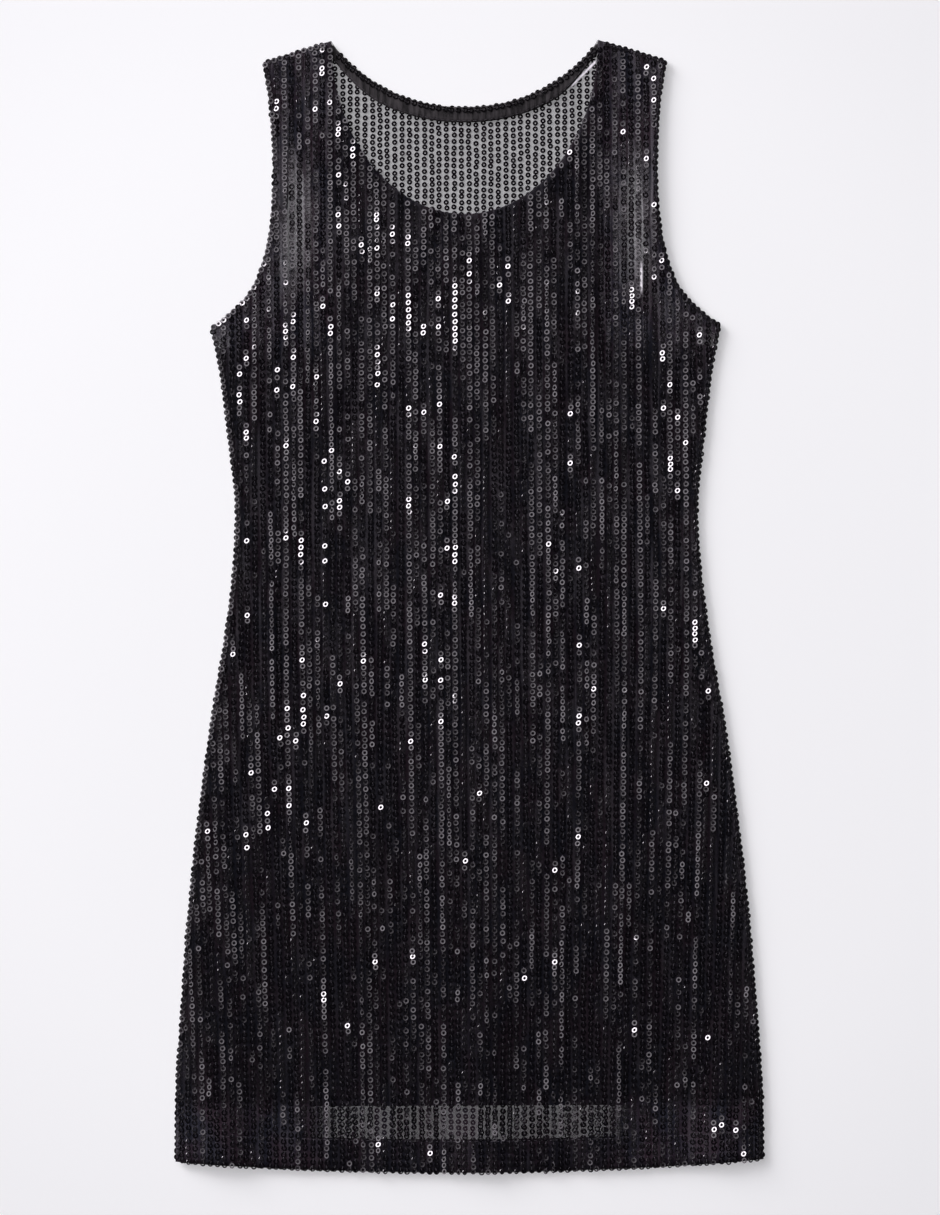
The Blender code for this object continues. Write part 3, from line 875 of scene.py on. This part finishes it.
def shoulder_height(x):
    """Height of the shoulder seam: straight from the neck point to the shoulder's tip."""
    share = (np.abs(x) - NECK_HALF) / (SHOULDER_HALF - NECK_HALF)
    return LENGTH + share * (SHOULDER_TIP - LENGTH)


def inside(x, y, neck, margin, neck_margin):
    """Which points lie on a panel, a margin in from its outer edges and another from its neck."""
    height = y + LENGTH / 2.0
    half = shell_half(height) - margin
    hem = HEM_RISE * (np.abs(x) / half) ** 2
    top = np.where(np.abs(x) < NECK_HALF, neck_height(x, neck) - neck_margin, shoulder_height(x) - margin)
    return (np.abs(x) < half) & (height > hem + 0.5 * MM) & (height < top)


def sequin_places(pitches, neck, margin, neck_margin, widening, wander, gaps=()):
    """Columns up the panel: they spread a little, wander slowly and are never quite even."""
    column_pitch, row_pitch = pitches
    columns = np.arange(-HALF_COLUMNS, HALF_COLUMNS)
    column, row = (part.ravel() for part in np.meshgrid(columns, np.arange(ROWS)))
    phase = chance.normal(0.0, 0.9 * MM, len(columns))[column + HALF_COLUMNS]
    hem = HEM_RISE * (((column + 0.5) * column_pitch) / HEM_HALF) ** 2
    bunching = 1.4 * MM * np.sin(column * 2.3 + row * row_pitch / (11 * MM)) * np.minimum(1.0, row / 20.0)
    height = hem + 2.2 * MM + row * row_pitch + phase * np.minimum(1.0, row / 3.0)
    height = height + wander / (0.4 * MM) * bunching
    height = height + chance.normal(0.0, 0.26 * MM, height.size)
    spread = 1.0 + widening * smooth_step(height / 0.45)
    sway = np.sin(column * 1.7 + height / (160 * MM)) + 0.6 * np.sin(column * 0.9 - height / (70 * MM))
    x = (column + 0.5) * column_pitch * spread + wander * sway + chance.normal(0.0, 0.2 * MM, height.size)
    y = height - LENGTH / 2.0
    kept = inside(x, y, neck, margin, neck_margin)
    over_hem = (height > HEM_TURNING + 4.0 * MM) & (height < LINING_HEM - 2.0 * MM)
    for low, high in gaps:
        kept &= ~(over_hem & (low * MM < x) & (x < high * MM))
    return column[kept], row[kept], x[kept], y[kept]


PICKED = ((-74.0, -62.0), (-17.0, 4.0))  # from and to across, in mm, where sequins are gone over the hem
EDGE_CLEAR = 3.4 * MM  # the columns stop this far from an edge, which has a row of its own
front_column, front_row, front_x, front_y = sequin_places(
    (FRONT_COLUMN_PITCH, FRONT_ROW_PITCH), FRONT_NECK, EDGE_CLEAR, 1.8 * MM, 0.055, 0.4 * MM, PICKED)
_, _, back_x, back_y = sequin_places(
    (BACK_COLUMN_PITCH, BACK_ROW_PITCH), BACK_NECK, EDGE_CLEAR, 3.0 * MM, 0.0, 0.15 * MM)
print("sequins:", len(front_x), "on the front and", len(back_x), "on the back")

# %% [markdown]
# ## How the sequins lean
# A lean is two slopes, one to the right and one up the dress. Neighbours in a column share most of
# theirs, so the slopes are a running average down each column. The machine sewed one column up and
# the next one down, so every other column leans the other way. A sequin shines white only where it
# stands halfway between the lens and the soft box, and the places where the real one does are few
# enough to list.

# %% Leans of the front's sequins
def running(column, row, keep, spread):
    """A running value up each column: keep * the last value + sqrt(1 - keep^2) * a fresh one."""
    table = chance.normal(0.0, 1.0, (200, 100))
    for at in range(1, len(table)):
        table[at] = keep * table[at - 1] + math.sqrt(1.0 - keep * keep) * table[at]
    return spread * table[row, column + HALF_COLUMNS]


def slopes_of(height_of, x, y, step=0.5 * MM):
    """Slopes of a surface at points, from its height on both sides of each."""
    right = (height_of(x + step, y) - height_of(x - step, y)) / (2.0 * step)
    up = (height_of(x, y + step) - height_of(x, y - step)) / (2.0 * step)
    return right, up


def halfway(x, y, z):
    """The normal that mirrors the soft box into the lens from each point."""
    points = np.stack([x, y, np.full_like(x, z)], axis=-1)
    to_lens = np.array(camera.location) - points
    to_key = KEY_PLACE - points
    to_lens /= np.linalg.norm(to_lens, axis=-1, keepdims=True)
    to_key /= np.linalg.norm(to_key, axis=-1, keepdims=True)
    half = to_lens + to_key
    return half / np.linalg.norm(half, axis=-1, keepdims=True)


def normals_from(lean_x, lean_y):
    """Unit normals that lean to the right and up the dress by two slopes."""
    normal = np.stack([lean_x, lean_y, np.ones_like(lean_x)], axis=-1)
    return normal / np.linalg.norm(normal, axis=-1, keepdims=True)


print(f"a run keeps its lean for about {1.0 / (1.0 - 0.92):.0f} sequins")

# %% Places that shine
# Across and height in millimetres, and how many shine going down the column.
BRIGHT = (
    (-9, 694, 9), (-45, 684, 5), (-57, 680, 1), (-57, 664, 1), (-33, 659, 2), (-21, 680, 1),
    (-21, 658, 1), (3, 712, 1), (3, 700, 1), (27, 693, 1), (33, 706, 1), (33, 679, 1), (-112, 862, 2),
    (-148, 835, 2), (-118, 830, 1), (-101, 814, 2), (-90, 800, 2), (-97, 781, 1), (-98, 748, 1),
    (-98, 738, 1), (-68, 746, 2), (-57, 730, 1), (-80, 725, 1), (-68, 720, 1), (-44, 724, 1),
    (-110, 678, 1), (-134, 663, 1), (-144, 657, 1), (-168, 665, 1), (-106, 660, 2), (-68, 686, 1),
    (-170, 637, 1), (-134, 636, 1), (-174, 622, 1), (-146, 628, 1), (-134, 616, 1), (-150, 610, 1),
    (-174, 607, 2), (-174, 578, 2), (-114, 585, 1), (-142, 566, 1), (-112, 558, 1), (-70, 636, 1),
    (-70, 626, 1), (-70, 616, 1), (-102, 565, 1), (-101, 549, 1), (-93, 542, 1), (-110, 536, 1),
    (-110, 519, 1), (-128, 494, 3), (-109, 490, 1), (-109, 478, 1), (-10, 557, 1), (-10, 542, 2),
    (-46, 596, 1), (-33, 593, 1), (-22, 598, 1), (80, 556, 1), (80, 594, 1), (168, 590, 1),
    (168, 570, 1), (158, 555, 3), (164, 531, 1), (156, 640, 2), (156, 616, 1), (156, 597, 1),
    (140, 861, 1), (150, 854, 1), (145, 836, 1), (121, 812, 1), (144, 790, 1), (79, 794, 1),
    (145, 754, 1), (153, 712, 1), (127, 689, 4), (179, 653, 1), (-10, 488, 2), (-15, 490, 1),
    (-21, 566, 1), (-98, 524, 2), (-45, 519, 1), (-15, 524, 1), (-170, 492, 1), (-140, 499, 1),
    (87, 472, 1), (-21, 453, 1), (-10, 446, 1), (-109, 445, 1), (154, 440, 1), (-174, 434, 1),
    (177, 430, 4), (-33, 414, 1), (-33, 385, 1), (85, 411, 1), (-80, 399, 1), (-127, 403, 1),
    (-185, 404, 1), (-22, 399, 1), (-22, 385, 1), (-98, 381, 1), (186, 378, 1), (96, 378, 1),
    (-128, 371, 1), (-130, 362, 3), (-139, 365, 1), (-112, 357, 1), (89, 359, 2), (-22, 351, 1),
    (-140, 346, 1), (-145, 341, 1), (-135, 338, 1), (-45, 335, 1), (-168, 314, 1), (-151, 303, 1),
    (-141, 302, 1), (188, 303, 1), (7, 296, 1), (-141, 288, 1), (-67, 284, 1), (-157, 282, 1),
    (-157, 272, 1), (-124, 273, 1), (-206, 269, 1), (83, 264, 1), (-174, 263, 1), (-174, 255, 1),
    (-4, 245, 1), (66, 235, 1), (66, 167, 1), (-71, 167, 1), (-43, 168, 1), (43, 154, 1), (-112, 137, 1),
    (-96, 118, 1), (131, 112, 1), (188, 106, 1), (-70, 22, 1), (-28, 19, 1), (198, 40, 1), (192, 33, 1),
    (209, 32, 1), (210, 17, 1),
)


print("places listed:", len(BRIGHT))


# %% From places to sequins
def next_in_column(chosen, step):
    """Numbers of the sequins one step up or down the columns from the chosen ones."""
    key = front_column * 1000 + front_row
    order = np.argsort(key)
    at = np.searchsorted(key[order], key[chosen] + step)
    at = np.minimum(at, len(key) - 1)
    found = order[at]
    return found[key[found] == key[chosen] + step]


def bright_sequins():
    """Numbers of the sequins nearest to the listed places, and of those below them in their column."""
    found = []
    for across, height, count in BRIGHT:
        distance = np.hypot(front_x - across * MM, front_y - (height * MM - LENGTH / 2.0))
        first = int(distance.argmin())
        same = np.flatnonzero(front_column == front_column[first])
        same = same[np.argsort(-front_y[same])]
        start = int(np.flatnonzero(same == first)[0])
        found.extend(same[start:start + count].tolist())
    return np.unique(found)


bright = bright_sequins()
print("bright sequins:", len(bright))

# %% Leans along the columns
FOLLOWS_CLOTH = 0.8  # a sewn sequin takes on this much of the cloth's slope
LEAN_SWING = 0.13  # slopes: runs lean this much more or this much less towards the light
MEAN_LEAN = 0.095
UNEVEN = 0.05
SEWN_WAY = 0.04  # up in one column and down in the next
TIPPED = 0.75  # the few that have tipped over sideways
surface_x, surface_y = slopes_of(front_cloth, front_x, front_y)
up_or_down = np.where(front_column % 2 == 0, 1.0, -1.0)
to_light = running(front_column, front_row, 0.92, 0.9)
to_light = to_light + chance.normal(0.0, 0.6, 2 * HALF_COLUMNS)[front_column + HALF_COLUMNS]
to_light = LEAN_SWING * np.tanh(2.2 * to_light + 0.2) + chance.normal(0.0, UNEVEN, front_x.size)
to_light += MEAN_LEAN + 0.02 * smooth_step((front_y + 0.4) / 0.5)
aside = running(front_column, front_row, 0.85, 0.10) + chance.normal(0.0, UNEVEN, front_x.size)
plan_x, plan_y = KEY_WAY[:2] / np.hypot(*KEY_WAY[:2])
lean_x = to_light * plan_x - aside * plan_y
lean_y = to_light * plan_y + aside * plan_x + SEWN_WAY * up_or_down
tipping = running(front_column, front_row, 0.9, 1.0)
lean_x += TIPPED * np.sign(tipping) * smooth_step((np.abs(tipping) - 1.15) / 0.5)
front_normal = normals_from(lean_x - FOLLOWS_CLOTH * surface_x, lean_y - FOLLOWS_CLOTH * surface_y)
print(f"mean lean {math.degrees(np.arccos(front_normal[:, 2]).mean()):.1f} degrees")

# %% The ones that shine
# Most of those that chance has set to mirror the soft box are laid flatter, because the real
# ones that shine are those of the list. Their neighbours up and down share part of their lean.
CALM_WITHIN = math.radians(9.5)
CALM_SHARE = 0.75
mirror = halfway(front_x, front_y, FRONT_SHELL_LAYER)
near_key = (front_normal * mirror).sum(1) > math.cos(CALM_WITHIN)
calmed = near_key & (chance.random(front_x.size) < CALM_SHARE)
front_normal[calmed] = normals_from(0.3 * lean_x[calmed], 0.3 * lean_y[calmed])
beside = np.setdiff1d(np.concatenate([next_in_column(bright, step) for step in (-1, 1)]), bright)
front_normal[beside] += chance.uniform(0.2, 1.3, (len(beside), 1)) * mirror[beside]
front_normal[bright] = mirror[bright] + chance.normal(0.0, 0.03, (len(bright), 3))
front_normal /= np.linalg.norm(front_normal, axis=1, keepdims=True)


print(len(bright), "sequins set to shine, and", int((near_key & ~calmed).sum()), "left to chance")

# %% Heights of the front's sequins
SEQUIN_CLEAR = 0.06 * MM


def seat(x, y, normal, slope_x, slope_y, cloth):
    """Height of a sequin's middle: cloth + rim + 0.8 * radius * sine of its lean: its edge dips in."""
    sine = np.linalg.norm(normal[:, :2] + np.stack([slope_x, slope_y], 1), axis=1)
    return cloth(x, y) + CLOTH_WALL + SEQUIN_RIM + SEQUIN_CLEAR + 0.8 * SEQUIN_RADIUS * sine


front_z = seat(front_x, front_y, front_normal, surface_x, surface_y, front_cloth)
print(f"sequins stand up to {1000 * front_z.max():.1f} mm over the table")

# %% [markdown]
# ## Sequins along the edges
# The machine's last column follows each edge of the panel, so the dress is outlined by a row of
# sequins that hang over the cloth's edge, like beads. The columns inside stop short of it. On the
# back neck one more row stands on the fold. The rows follow the edge's own path, at even distances
# along it, and lean outwards with it.

# %% Rows along a path
EDGE_PITCH = 4.9 * MM
EDGE_INSET = 1.2 * MM
BACK_EDGE_INSET = 0.9 * MM
NECK_BEAD_INSET = 2.6 * MM
NECK_BEAD_HEIGHT = 2.75 * MM  # they stand on the fold of the neck's turning


def along(path, pitch):
    """Points at even distances along a path, with the angle of its run at each."""
    steps = np.linalg.norm(np.diff(path, axis=0), axis=1)
    length = np.concatenate([[0.0], np.cumsum(steps)])
    at = np.arange(pitch, length[-1] - pitch, pitch)
    x, y = (np.interp(at, length, path[:, axis]) for axis in (0, 1))
    run = np.gradient(path, axis=0)
    angle = np.interp(at, length, np.unwrap(np.arctan2(run[:, 1], run[:, 0])))
    return x, y, angle


def edge_row(path, inset, lean):
    """Sequins along a path with its outer side on the right: places, outward leans, angles of the run."""
    x, y, angle = along(path, EDGE_PITCH)
    out_x, out_y = np.sin(angle), -np.cos(angle)
    uneven = chance.normal(0.0, 0.25 * MM, (2, x.size))
    leaning = lean + chance.normal(0.0, 0.12, x.size)
    return np.array([x - inset * out_x + uneven[0], y - inset * out_y + uneven[1],
                     leaning * out_x, leaning * out_y, angle - math.pi / 2.0])


def mirrored(row):
    """The same row on the left of the dress."""
    x, y, lean_right, lean_up, spin = row
    return np.array([-x, y, -lean_right, lean_up, -spin])


print("points along the underarm seam:", len(along(SIDE_PATH, EDGE_PITCH)[0]))

# %% Both sides, the shoulders and the neck
EDGE_LEAN = 0.30
ARMHOLE_HEIGHTS = np.linspace(UNDERARM, SHOULDER_TIP, 60)
ARMHOLE_EDGE = np.stack([armhole_half(ARMHOLE_HEIGHTS), ARMHOLE_HEIGHTS - LENGTH / 2.0], axis=1)
RIGHT_EDGE = np.concatenate([SIDE_PATH, ARMHOLE_EDGE[1:], SHOULDER_PATH[:1]])
front_rows = [edge_row(RIGHT_EDGE, EDGE_INSET, EDGE_LEAN),
              mirrored(edge_row(RIGHT_EDGE, EDGE_INSET, EDGE_LEAN))]
back_rows = [edge_row(RIGHT_EDGE, BACK_EDGE_INSET, 0.0),
             mirrored(edge_row(RIGHT_EDGE, BACK_EDGE_INSET, 0.0)),
             edge_row(BACK_NECK_PATH[::-1], EDGE_INSET, 0.0)]
neck_row = edge_row(BACK_NECK_PATH[::-1], NECK_BEAD_INSET, 0.05)
edge_x, edge_y, edge_lean_x, edge_lean_y, edge_spin = np.concatenate(front_rows, axis=1)
edge_normal = normals_from(edge_lean_x, edge_lean_y)
edge_z = seat(edge_x, edge_y, edge_normal, *slopes_of(front_cloth, edge_x, edge_y), front_cloth)
edge_x, edge_y, edge_spin = (
    np.concatenate(pair) for pair in zip((edge_x, edge_y, edge_spin), neck_row[[0, 1, 4]]))
edge_normal = np.concatenate([edge_normal, normals_from(*(0.4 * neck_row[2:4]))])
edge_z = np.concatenate([edge_z, np.full(neck_row.shape[1], NECK_BEAD_HEIGHT)])
back_edge_x, back_edge_y, _, _, back_edge_spin = np.concatenate(back_rows, axis=1)
print("sequins on edges:", edge_x.size + back_edge_x.size)

# %% [markdown]
# ## Many small shapes in one mesh
# A sequin is a ring of 10 corners at three radii, which is enough for its highlight at this size.
# Thousands of objects would be slow, so all sequins of a part are one mesh: one array of local
# points, turned by an array of leans and moved to an array of places.

# %% A ring, turned and repeated
def ring_points(segments, profile):
    """A ring round +Z: at each radius and height of the profile, corners at even angles."""
    angle = np.arange(segments) * 2.0 * math.pi / segments
    radius, height = (np.array(part)[:, None] for part in zip(*profile))
    x, y, z = radius * np.cos(angle), radius * np.sin(angle), height + 0.0 * angle
    return np.stack([x, y, z], -1).reshape(-1, 3)


def ring_faces(segments, circles):
    """Faces between neighbouring circles of a ring, facing up."""
    corner = np.arange(segments)
    after = (corner + 1) % segments
    band = np.stack([corner, corner + segments, after + segments, after], 1)
    return np.concatenate([band + circle * segments for circle in range(circles - 1)])


def turned(points, normals, spin):
    """Local points spun about +Z, then tipped so that +Z becomes each normal (Rodrigues' formula)."""
    cos, sin = np.cos(spin)[:, None], np.sin(spin)[:, None]
    x = points[:, 0] * cos - points[:, 1] * sin
    y = points[:, 0] * sin + points[:, 1] * cos
    a, b, c = (normals[:, axis, None] for axis in range(3))
    dot = a * x + b * y
    outward = points[:, 2] - dot / (1.0 + c)
    return np.stack([x + a * outward, y + b * outward, c * points[:, 2] - dot], axis=-1)


def repeated(name, local, faces, centres, normals, spin, smooth=False):
    """One mesh of a small shape repeated at every centre, with its own normal and spin."""
    points = centres[:, None] + turned(local, normals, spin)
    every = (np.arange(len(centres)) * len(local))[:, None, None] + faces[None]
    return new_piece(name, points.reshape(-1, 3), every.reshape(-1, faces.shape[1]).tolist(), smooth)


print("corners of a sequin's ring, for example:", len(ring_points(6, ((1.0, 0.0), (2.0, 0.0)))))

# %% The front's sequins
SEGMENTS = 10
FRONT_PROFILE = ((SEQUIN_HOLE, 0.0), (SEQUIN_FLAT, 0.03 * MM), (SEQUIN_RADIUS, -SEQUIN_RIM))
front_centres = np.concatenate([
    np.stack([front_x, front_y, front_z], 1), np.stack([edge_x, edge_y, edge_z], 1)])
front_normal = np.concatenate([front_normal, edge_normal])
front_askew = np.concatenate([chance.normal(0.0, 0.22, front_x.size), edge_spin])
thirds = np.array_split(np.argsort(front_centres[:, 0], kind="stable"), 3)
THIRDS = ("left", "middle", "right")
front_spin = chance.random(len(front_centres)) * 2.0 * math.pi
front_sequins = [
    repeated(f"front_sequins_{part}", ring_points(SEGMENTS, FRONT_PROFILE), ring_faces(SEGMENTS, 3),
             front_centres[chosen], front_normal[chosen], front_spin[chosen])
    for part, chosen in zip(THIRDS, thirds)
]

print("front sequin faces:", sum(len(piece.data.polygons) for piece in front_sequins))

# %% The back's sequins
# They lie under their mesh, so their faces are turned over to face the table.
BACK_SEGMENTS = 8
BACK_PROFILE = ((BACK_SEQUIN_HOLE, 0.0), (BACK_SEQUIN_RADIUS, 0.12 * MM))
BACK_DROP = 0.45 * MM  # how far a back sequin's middle lies under the mesh
all_x, all_y = np.concatenate([back_x, back_edge_x]), np.concatenate([back_y, back_edge_y])
back_slope_x, back_slope_y = slopes_of(back_cloth, all_x, all_y)
back_normal = normals_from(chance.normal(0.0, 0.04, all_x.size) - back_slope_x,
                           chance.normal(0.0, 0.04, all_x.size) - back_slope_y)
tilt = np.linalg.norm(back_normal[:, :2], axis=1)
off_table = 0.25 * MM + 2.4 * MM * tilt  # a thread's thickness, and what its lean takes down
back_centres = np.stack([all_x, all_y, np.maximum(back_cloth(all_x, all_y) - BACK_DROP, off_table)], 1)
back_askew = np.concatenate([chance.normal(0.0, 0.15, back_x.size), back_edge_spin])
halves = np.array_split(np.argsort(back_centres[:, 0], kind="stable"), 2)
back_spin = chance.random(len(back_centres)) * 2.0 * math.pi
back_sequins = [
    repeated(f"back_sequins_{part}", ring_points(BACK_SEGMENTS, BACK_PROFILE),
             ring_faces(BACK_SEGMENTS, 2)[:, ::-1], back_centres[chosen], back_normal[chosen],
             back_spin[chosen])
    for part, chosen in zip(("left", "right"), halves)
]
print("back sequin faces:", sum(len(piece.data.polygons) for piece in back_sequins))

# %% [markdown]
# ## Chain stitches
# The thread comes up through each hole, crosses the sequin at the top and goes down beyond it. It
# breaks the bright ring there, so a shining sequin looks like a C. A bevelled curve would make a
# round thread, with many faces that nobody sees. So a stitch is a little roof along a few points:
# two sloping sides, open below where it lies on the sequin, and it leans with its sequin.

# %% Stitches that hold the sequins
def stitch_points(path, half_width, height):
    """A roof along a path up the dress: left, right and top corners at each of its points."""
    corners = ((-half_width, 0.0), (half_width, 0.0), (0.0, height))
    return np.array([(across, up, rise + over) for up, rise in path for across, over in corners])


def stitch_faces(count):
    """The two sloping sides of a roof of several points, facing outwards."""
    side, after = np.array([1, 2]), np.array([2, 0])  # right to top, and top to left
    stretch = np.stack([side, after, after + 3, side + 3], 1)[:, ::-1]
    return np.concatenate([stretch + 3 * at for at in range(count - 1)])


OVER_PATH = ((0.85 * MM, -0.10 * MM), (1.55 * MM, 0.07 * MM), (2.85 * MM, -0.45 * MM))
UNDER_PATH = ((0.10 * MM, 0.10 * MM), (2.40 * MM, -0.22 * MM))
THREAD_HALF, THREAD_HEIGHT = 0.17 * MM, 0.16 * MM
over = stitch_points(OVER_PATH, THREAD_HALF, THREAD_HEIGHT)
under = stitch_points(UNDER_PATH, THREAD_HALF, THREAD_HEIGHT)
front_threads = repeated("front_chain_stitch", over, stitch_faces(len(OVER_PATH)),
                         front_centres, front_normal, front_askew, True)
back_threads = repeated("back_chain_stitch", under, stitch_faces(len(UNDER_PATH)),
                        back_centres, back_normal, back_askew, True)
print("stitches over sequins:", len(front_centres) + len(back_centres))

# %% [markdown]
# ## Stitches along the turned edges
# A blind hem shows as a row of small dashes a little in from the fold's inner edge. The dashes use
# the same roof as the chain stitches, and follow lines beside the edges, so that they stay on the
# cloth where it bends.

# %% Stitches along the turned edges
STITCH_PITCH = 4.2 * MM
STITCH_LENGTH = 2.6 * MM


def stitch_row(path, height_of):
    """Centres, normals and spins of a row of stitches along a path on a surface."""
    x, y, angle = along(path, STITCH_PITCH)
    slope_x, slope_y = slopes_of(height_of, x, y)
    centres = np.stack([x, y, height_of(x, y)], 1)
    spin = angle - math.pi / 2.0 + chance.normal(0.0, 0.12, x.size)
    return centres, normals_from(-slope_x, -slope_y), spin


def inner_line(path, side, reach):
    """The line beside a path at one distance."""
    x, y = strip_grid(path, side, reach, 2)
    return np.stack([x[:, 1], y[:, 1]], axis=1)


def level_line(height, half, count=120):
    """A line across the dress at a height, bent as the hem is."""
    x, y = body_grid(np.array([height]), np.linspace(-half, half, count), shell_half, no_shift, shell_hem)
    return np.stack([x[0], y[0]], axis=1)


def front_top(x, y):
    """Upper face of the front mesh."""
    return front_cloth(x, y) + CLOTH_WALL


def turned_top(x, y):
    """Upper face of a turned edge on the back."""
    return back_turning_height(x, y) + TURNING_WALL


STITCH_MARGIN = 1.4 * MM  # from the inner edge of a turning
HEM_STITCH_MARGIN = 1.2 * MM
rows = [stitch_row(level_line(HEM_TURNING - HEM_STITCH_MARGIN, 0.95), front_top),
        stitch_row(inner_line(BACK_NECK_PATH, -1, NECK_FOLD - STITCH_MARGIN), turned_top)]
for sign in (1, -1):
    rows.append(stitch_row(inner_line(armhole_path(sign), sign, EDGE_TURNING - STITCH_MARGIN), front_top))
SHORT_PATH = ((-STITCH_LENGTH / 2.0, -0.05 * MM), (0.0, 0.06 * MM), (STITCH_LENGTH / 2.0, -0.05 * MM))
short = stitch_points(SHORT_PATH, 0.12 * MM, THREAD_HEIGHT)
edge_stitches = repeated("edge_stitches", short, stitch_faces(len(SHORT_PATH)),
                         *(np.concatenate(part) for part in zip(*rows)), True)
print("edge stitches:", sum(len(row[0]) for row in rows))

# %% [markdown]
# ## Foil and thread
# A sequin is black plastic film with a mirror-smooth face. Its colour is almost nothing and its
# look is all reflection, so the material is a low Roughness with a high IOR, and a few scuffs
# that dull it in patches. The thread is polyester: black too, and only a little shiny.

# %% Materials of the sequins and the threads
foil_material, shader = new_material("black_foil", Base_Color=(0.0035, 0.003, 0.004, 1.0), IOR=1.84,
                                     Specular_Tint=(1.0, 0.93, 1.0, 1.0))
tree = foil_material.node_tree
place = add_node(tree, "ShaderNodeTexCoord", {}, {}, output="Object")
scuffs = add_node(tree, "ShaderNodeTexNoise", {}, {
    "Vector": place, "Scale": 420.0, "Detail": 4.0, "Roughness": 0.7})
feed(shader, "Roughness", 0.09 + scuffs.between(0.45, 0.80) * 0.18)
ripple = add_node(tree, "ShaderNodeTexNoise", {}, {"Vector": place, "Scale": 900.0, "Detail": 1.0})
bump = add_node(tree, "ShaderNodeBump", {}, {"Strength": 0.25, "Distance": 0.0002, "Height": ripple})
feed(shader, "Normal", bump)

thread_material, shader = new_material("black_thread", Base_Color=(0.100, 0.088, 0.108, 1.0), IOR=1.5)
tree = thread_material.node_tree
place = add_node(tree, "ShaderNodeTexCoord", {}, {}, output="Object")
plies = add_node(tree, "ShaderNodeTexWave", {"bands_direction": "DIAGONAL"}, {
    "Vector": place, "Scale": 1400.0, "Distortion": 0.4}, output="Fac")
feed(shader, "Roughness", 0.42 + plies * 0.18)
bump = add_node(tree, "ShaderNodeBump", {}, {"Strength": 0.5, "Distance": 0.0001, "Height": plies})
feed(shader, "Normal", bump)

for piece in front_sequins + back_sequins:
    piece.data.materials.append(foil_material)
THREADS = (front_threads, back_threads, edge_stitches)
for piece in THREADS:
    piece.data.materials.append(thread_material)
print("materials:", len(bpy.data.materials))

# %% [markdown]
# ## Which node each piece stands for
# Each piece rides on the one body and stands for the imported nodes that it covers, which are hidden.

# %% Pieces and nodes
STANDS_FOR = {
    front_mesh: ("front_shell", "sequinned_mesh"),
    back_mesh: ("back_shell", "sequinned_mesh"),
    front_lining: ("front_lining", "lining"),
    back_lining: ("back_lining", "lining"),
    back_neck_turning: ("back_neck_turning", "turned_mesh"),
    front_hem: ("front_hem_turning", "turned_mesh"),
    back_hem: ("back_hem_turning", "turned_mesh"),
    **{piece: (node, "turned_mesh") for node, piece in armhole_turnings.items()},
}
for piece, (node, slot) in STANDS_FOR.items():
    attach(piece, "root")
    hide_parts(node)
for piece in (*front_sequins, *back_sequins, *THREADS):
    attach(piece, "root")
for piece in seam_edges:
    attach(piece, "root")
print("nodes replaced:", len(STANDS_FOR))

# %% [markdown]
# ## What the cutter needs
# Each cloth's size when it lies flat is printed. It is measured on the mesh itself, so it can't
# differ from what shows. The panels lie one on the other, and the strips are folded onto them.

# %% Sheets and strips
def cut_area(piece):
    """Area of a piece's cloth: half of its shell's, which has two faces."""
    areas = np.zeros(len(piece.data.polygons))
    piece.data.polygons.foreach_get("area", areas)
    return float(areas.sum() / 2.0)


def cut_box(piece):
    """Width and length of the cloth as it lies, with what its folds take up."""
    low, high = np.array(piece.bound_box).min(0), np.array(piece.bound_box).max(0)
    return high[:2] - low[:2]


SHEETS = {  # what each cloth lies on
    back_mesh: (),
    back_lining: (back_mesh,),
    front_lining: (back_lining,),
    front_mesh: (front_lining,),
}
for piece, under_it in SHEETS.items():
    width, length = cut_box(piece)
    round(cut_area(piece), 4)
    print(f"{piece.name}: cut {width:.3f} x {length:.3f} m, {cut_area(piece):.3f} square metres")

# Strips: the width folded in, and what each lies on. A strip's length is its area over its width.
STRIPS = {
    back_neck_turning: (EDGE_TURNING, back_mesh),
    back_hem: (HEM_TURNING, back_mesh),
    front_hem: (HEM_TURNING, back_hem),
}
for side in ("right", "left"):
    back_strip = armhole_turnings[f"back_armhole_turning_{side}"]
    STRIPS[back_strip] = (EDGE_TURNING, back_mesh)
    STRIPS[armhole_turnings[f"front_armhole_turning_{side}"]] = (EDGE_TURNING, back_strip)
for piece, width in zip(seam_edges, (SHOULDER_ALLOWANCE, SIDE_ALLOWANCE) * 2):
    STRIPS[piece] = (width, back_mesh)
for piece, (width, under_it) in STRIPS.items():
    length = cut_area(piece) / width
    print(f"{piece.name}: strip {1000 * width:.1f} x {1000 * length:.0f} mm")

# %% [markdown]
# ## Triangles
# Last comes how many triangles the scene costs.

# %% Triangles
triangles = sum(len(polygon.vertices) - 2 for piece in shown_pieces() for polygon in piece.data.polygons)
print("triangles in all:", triangles)
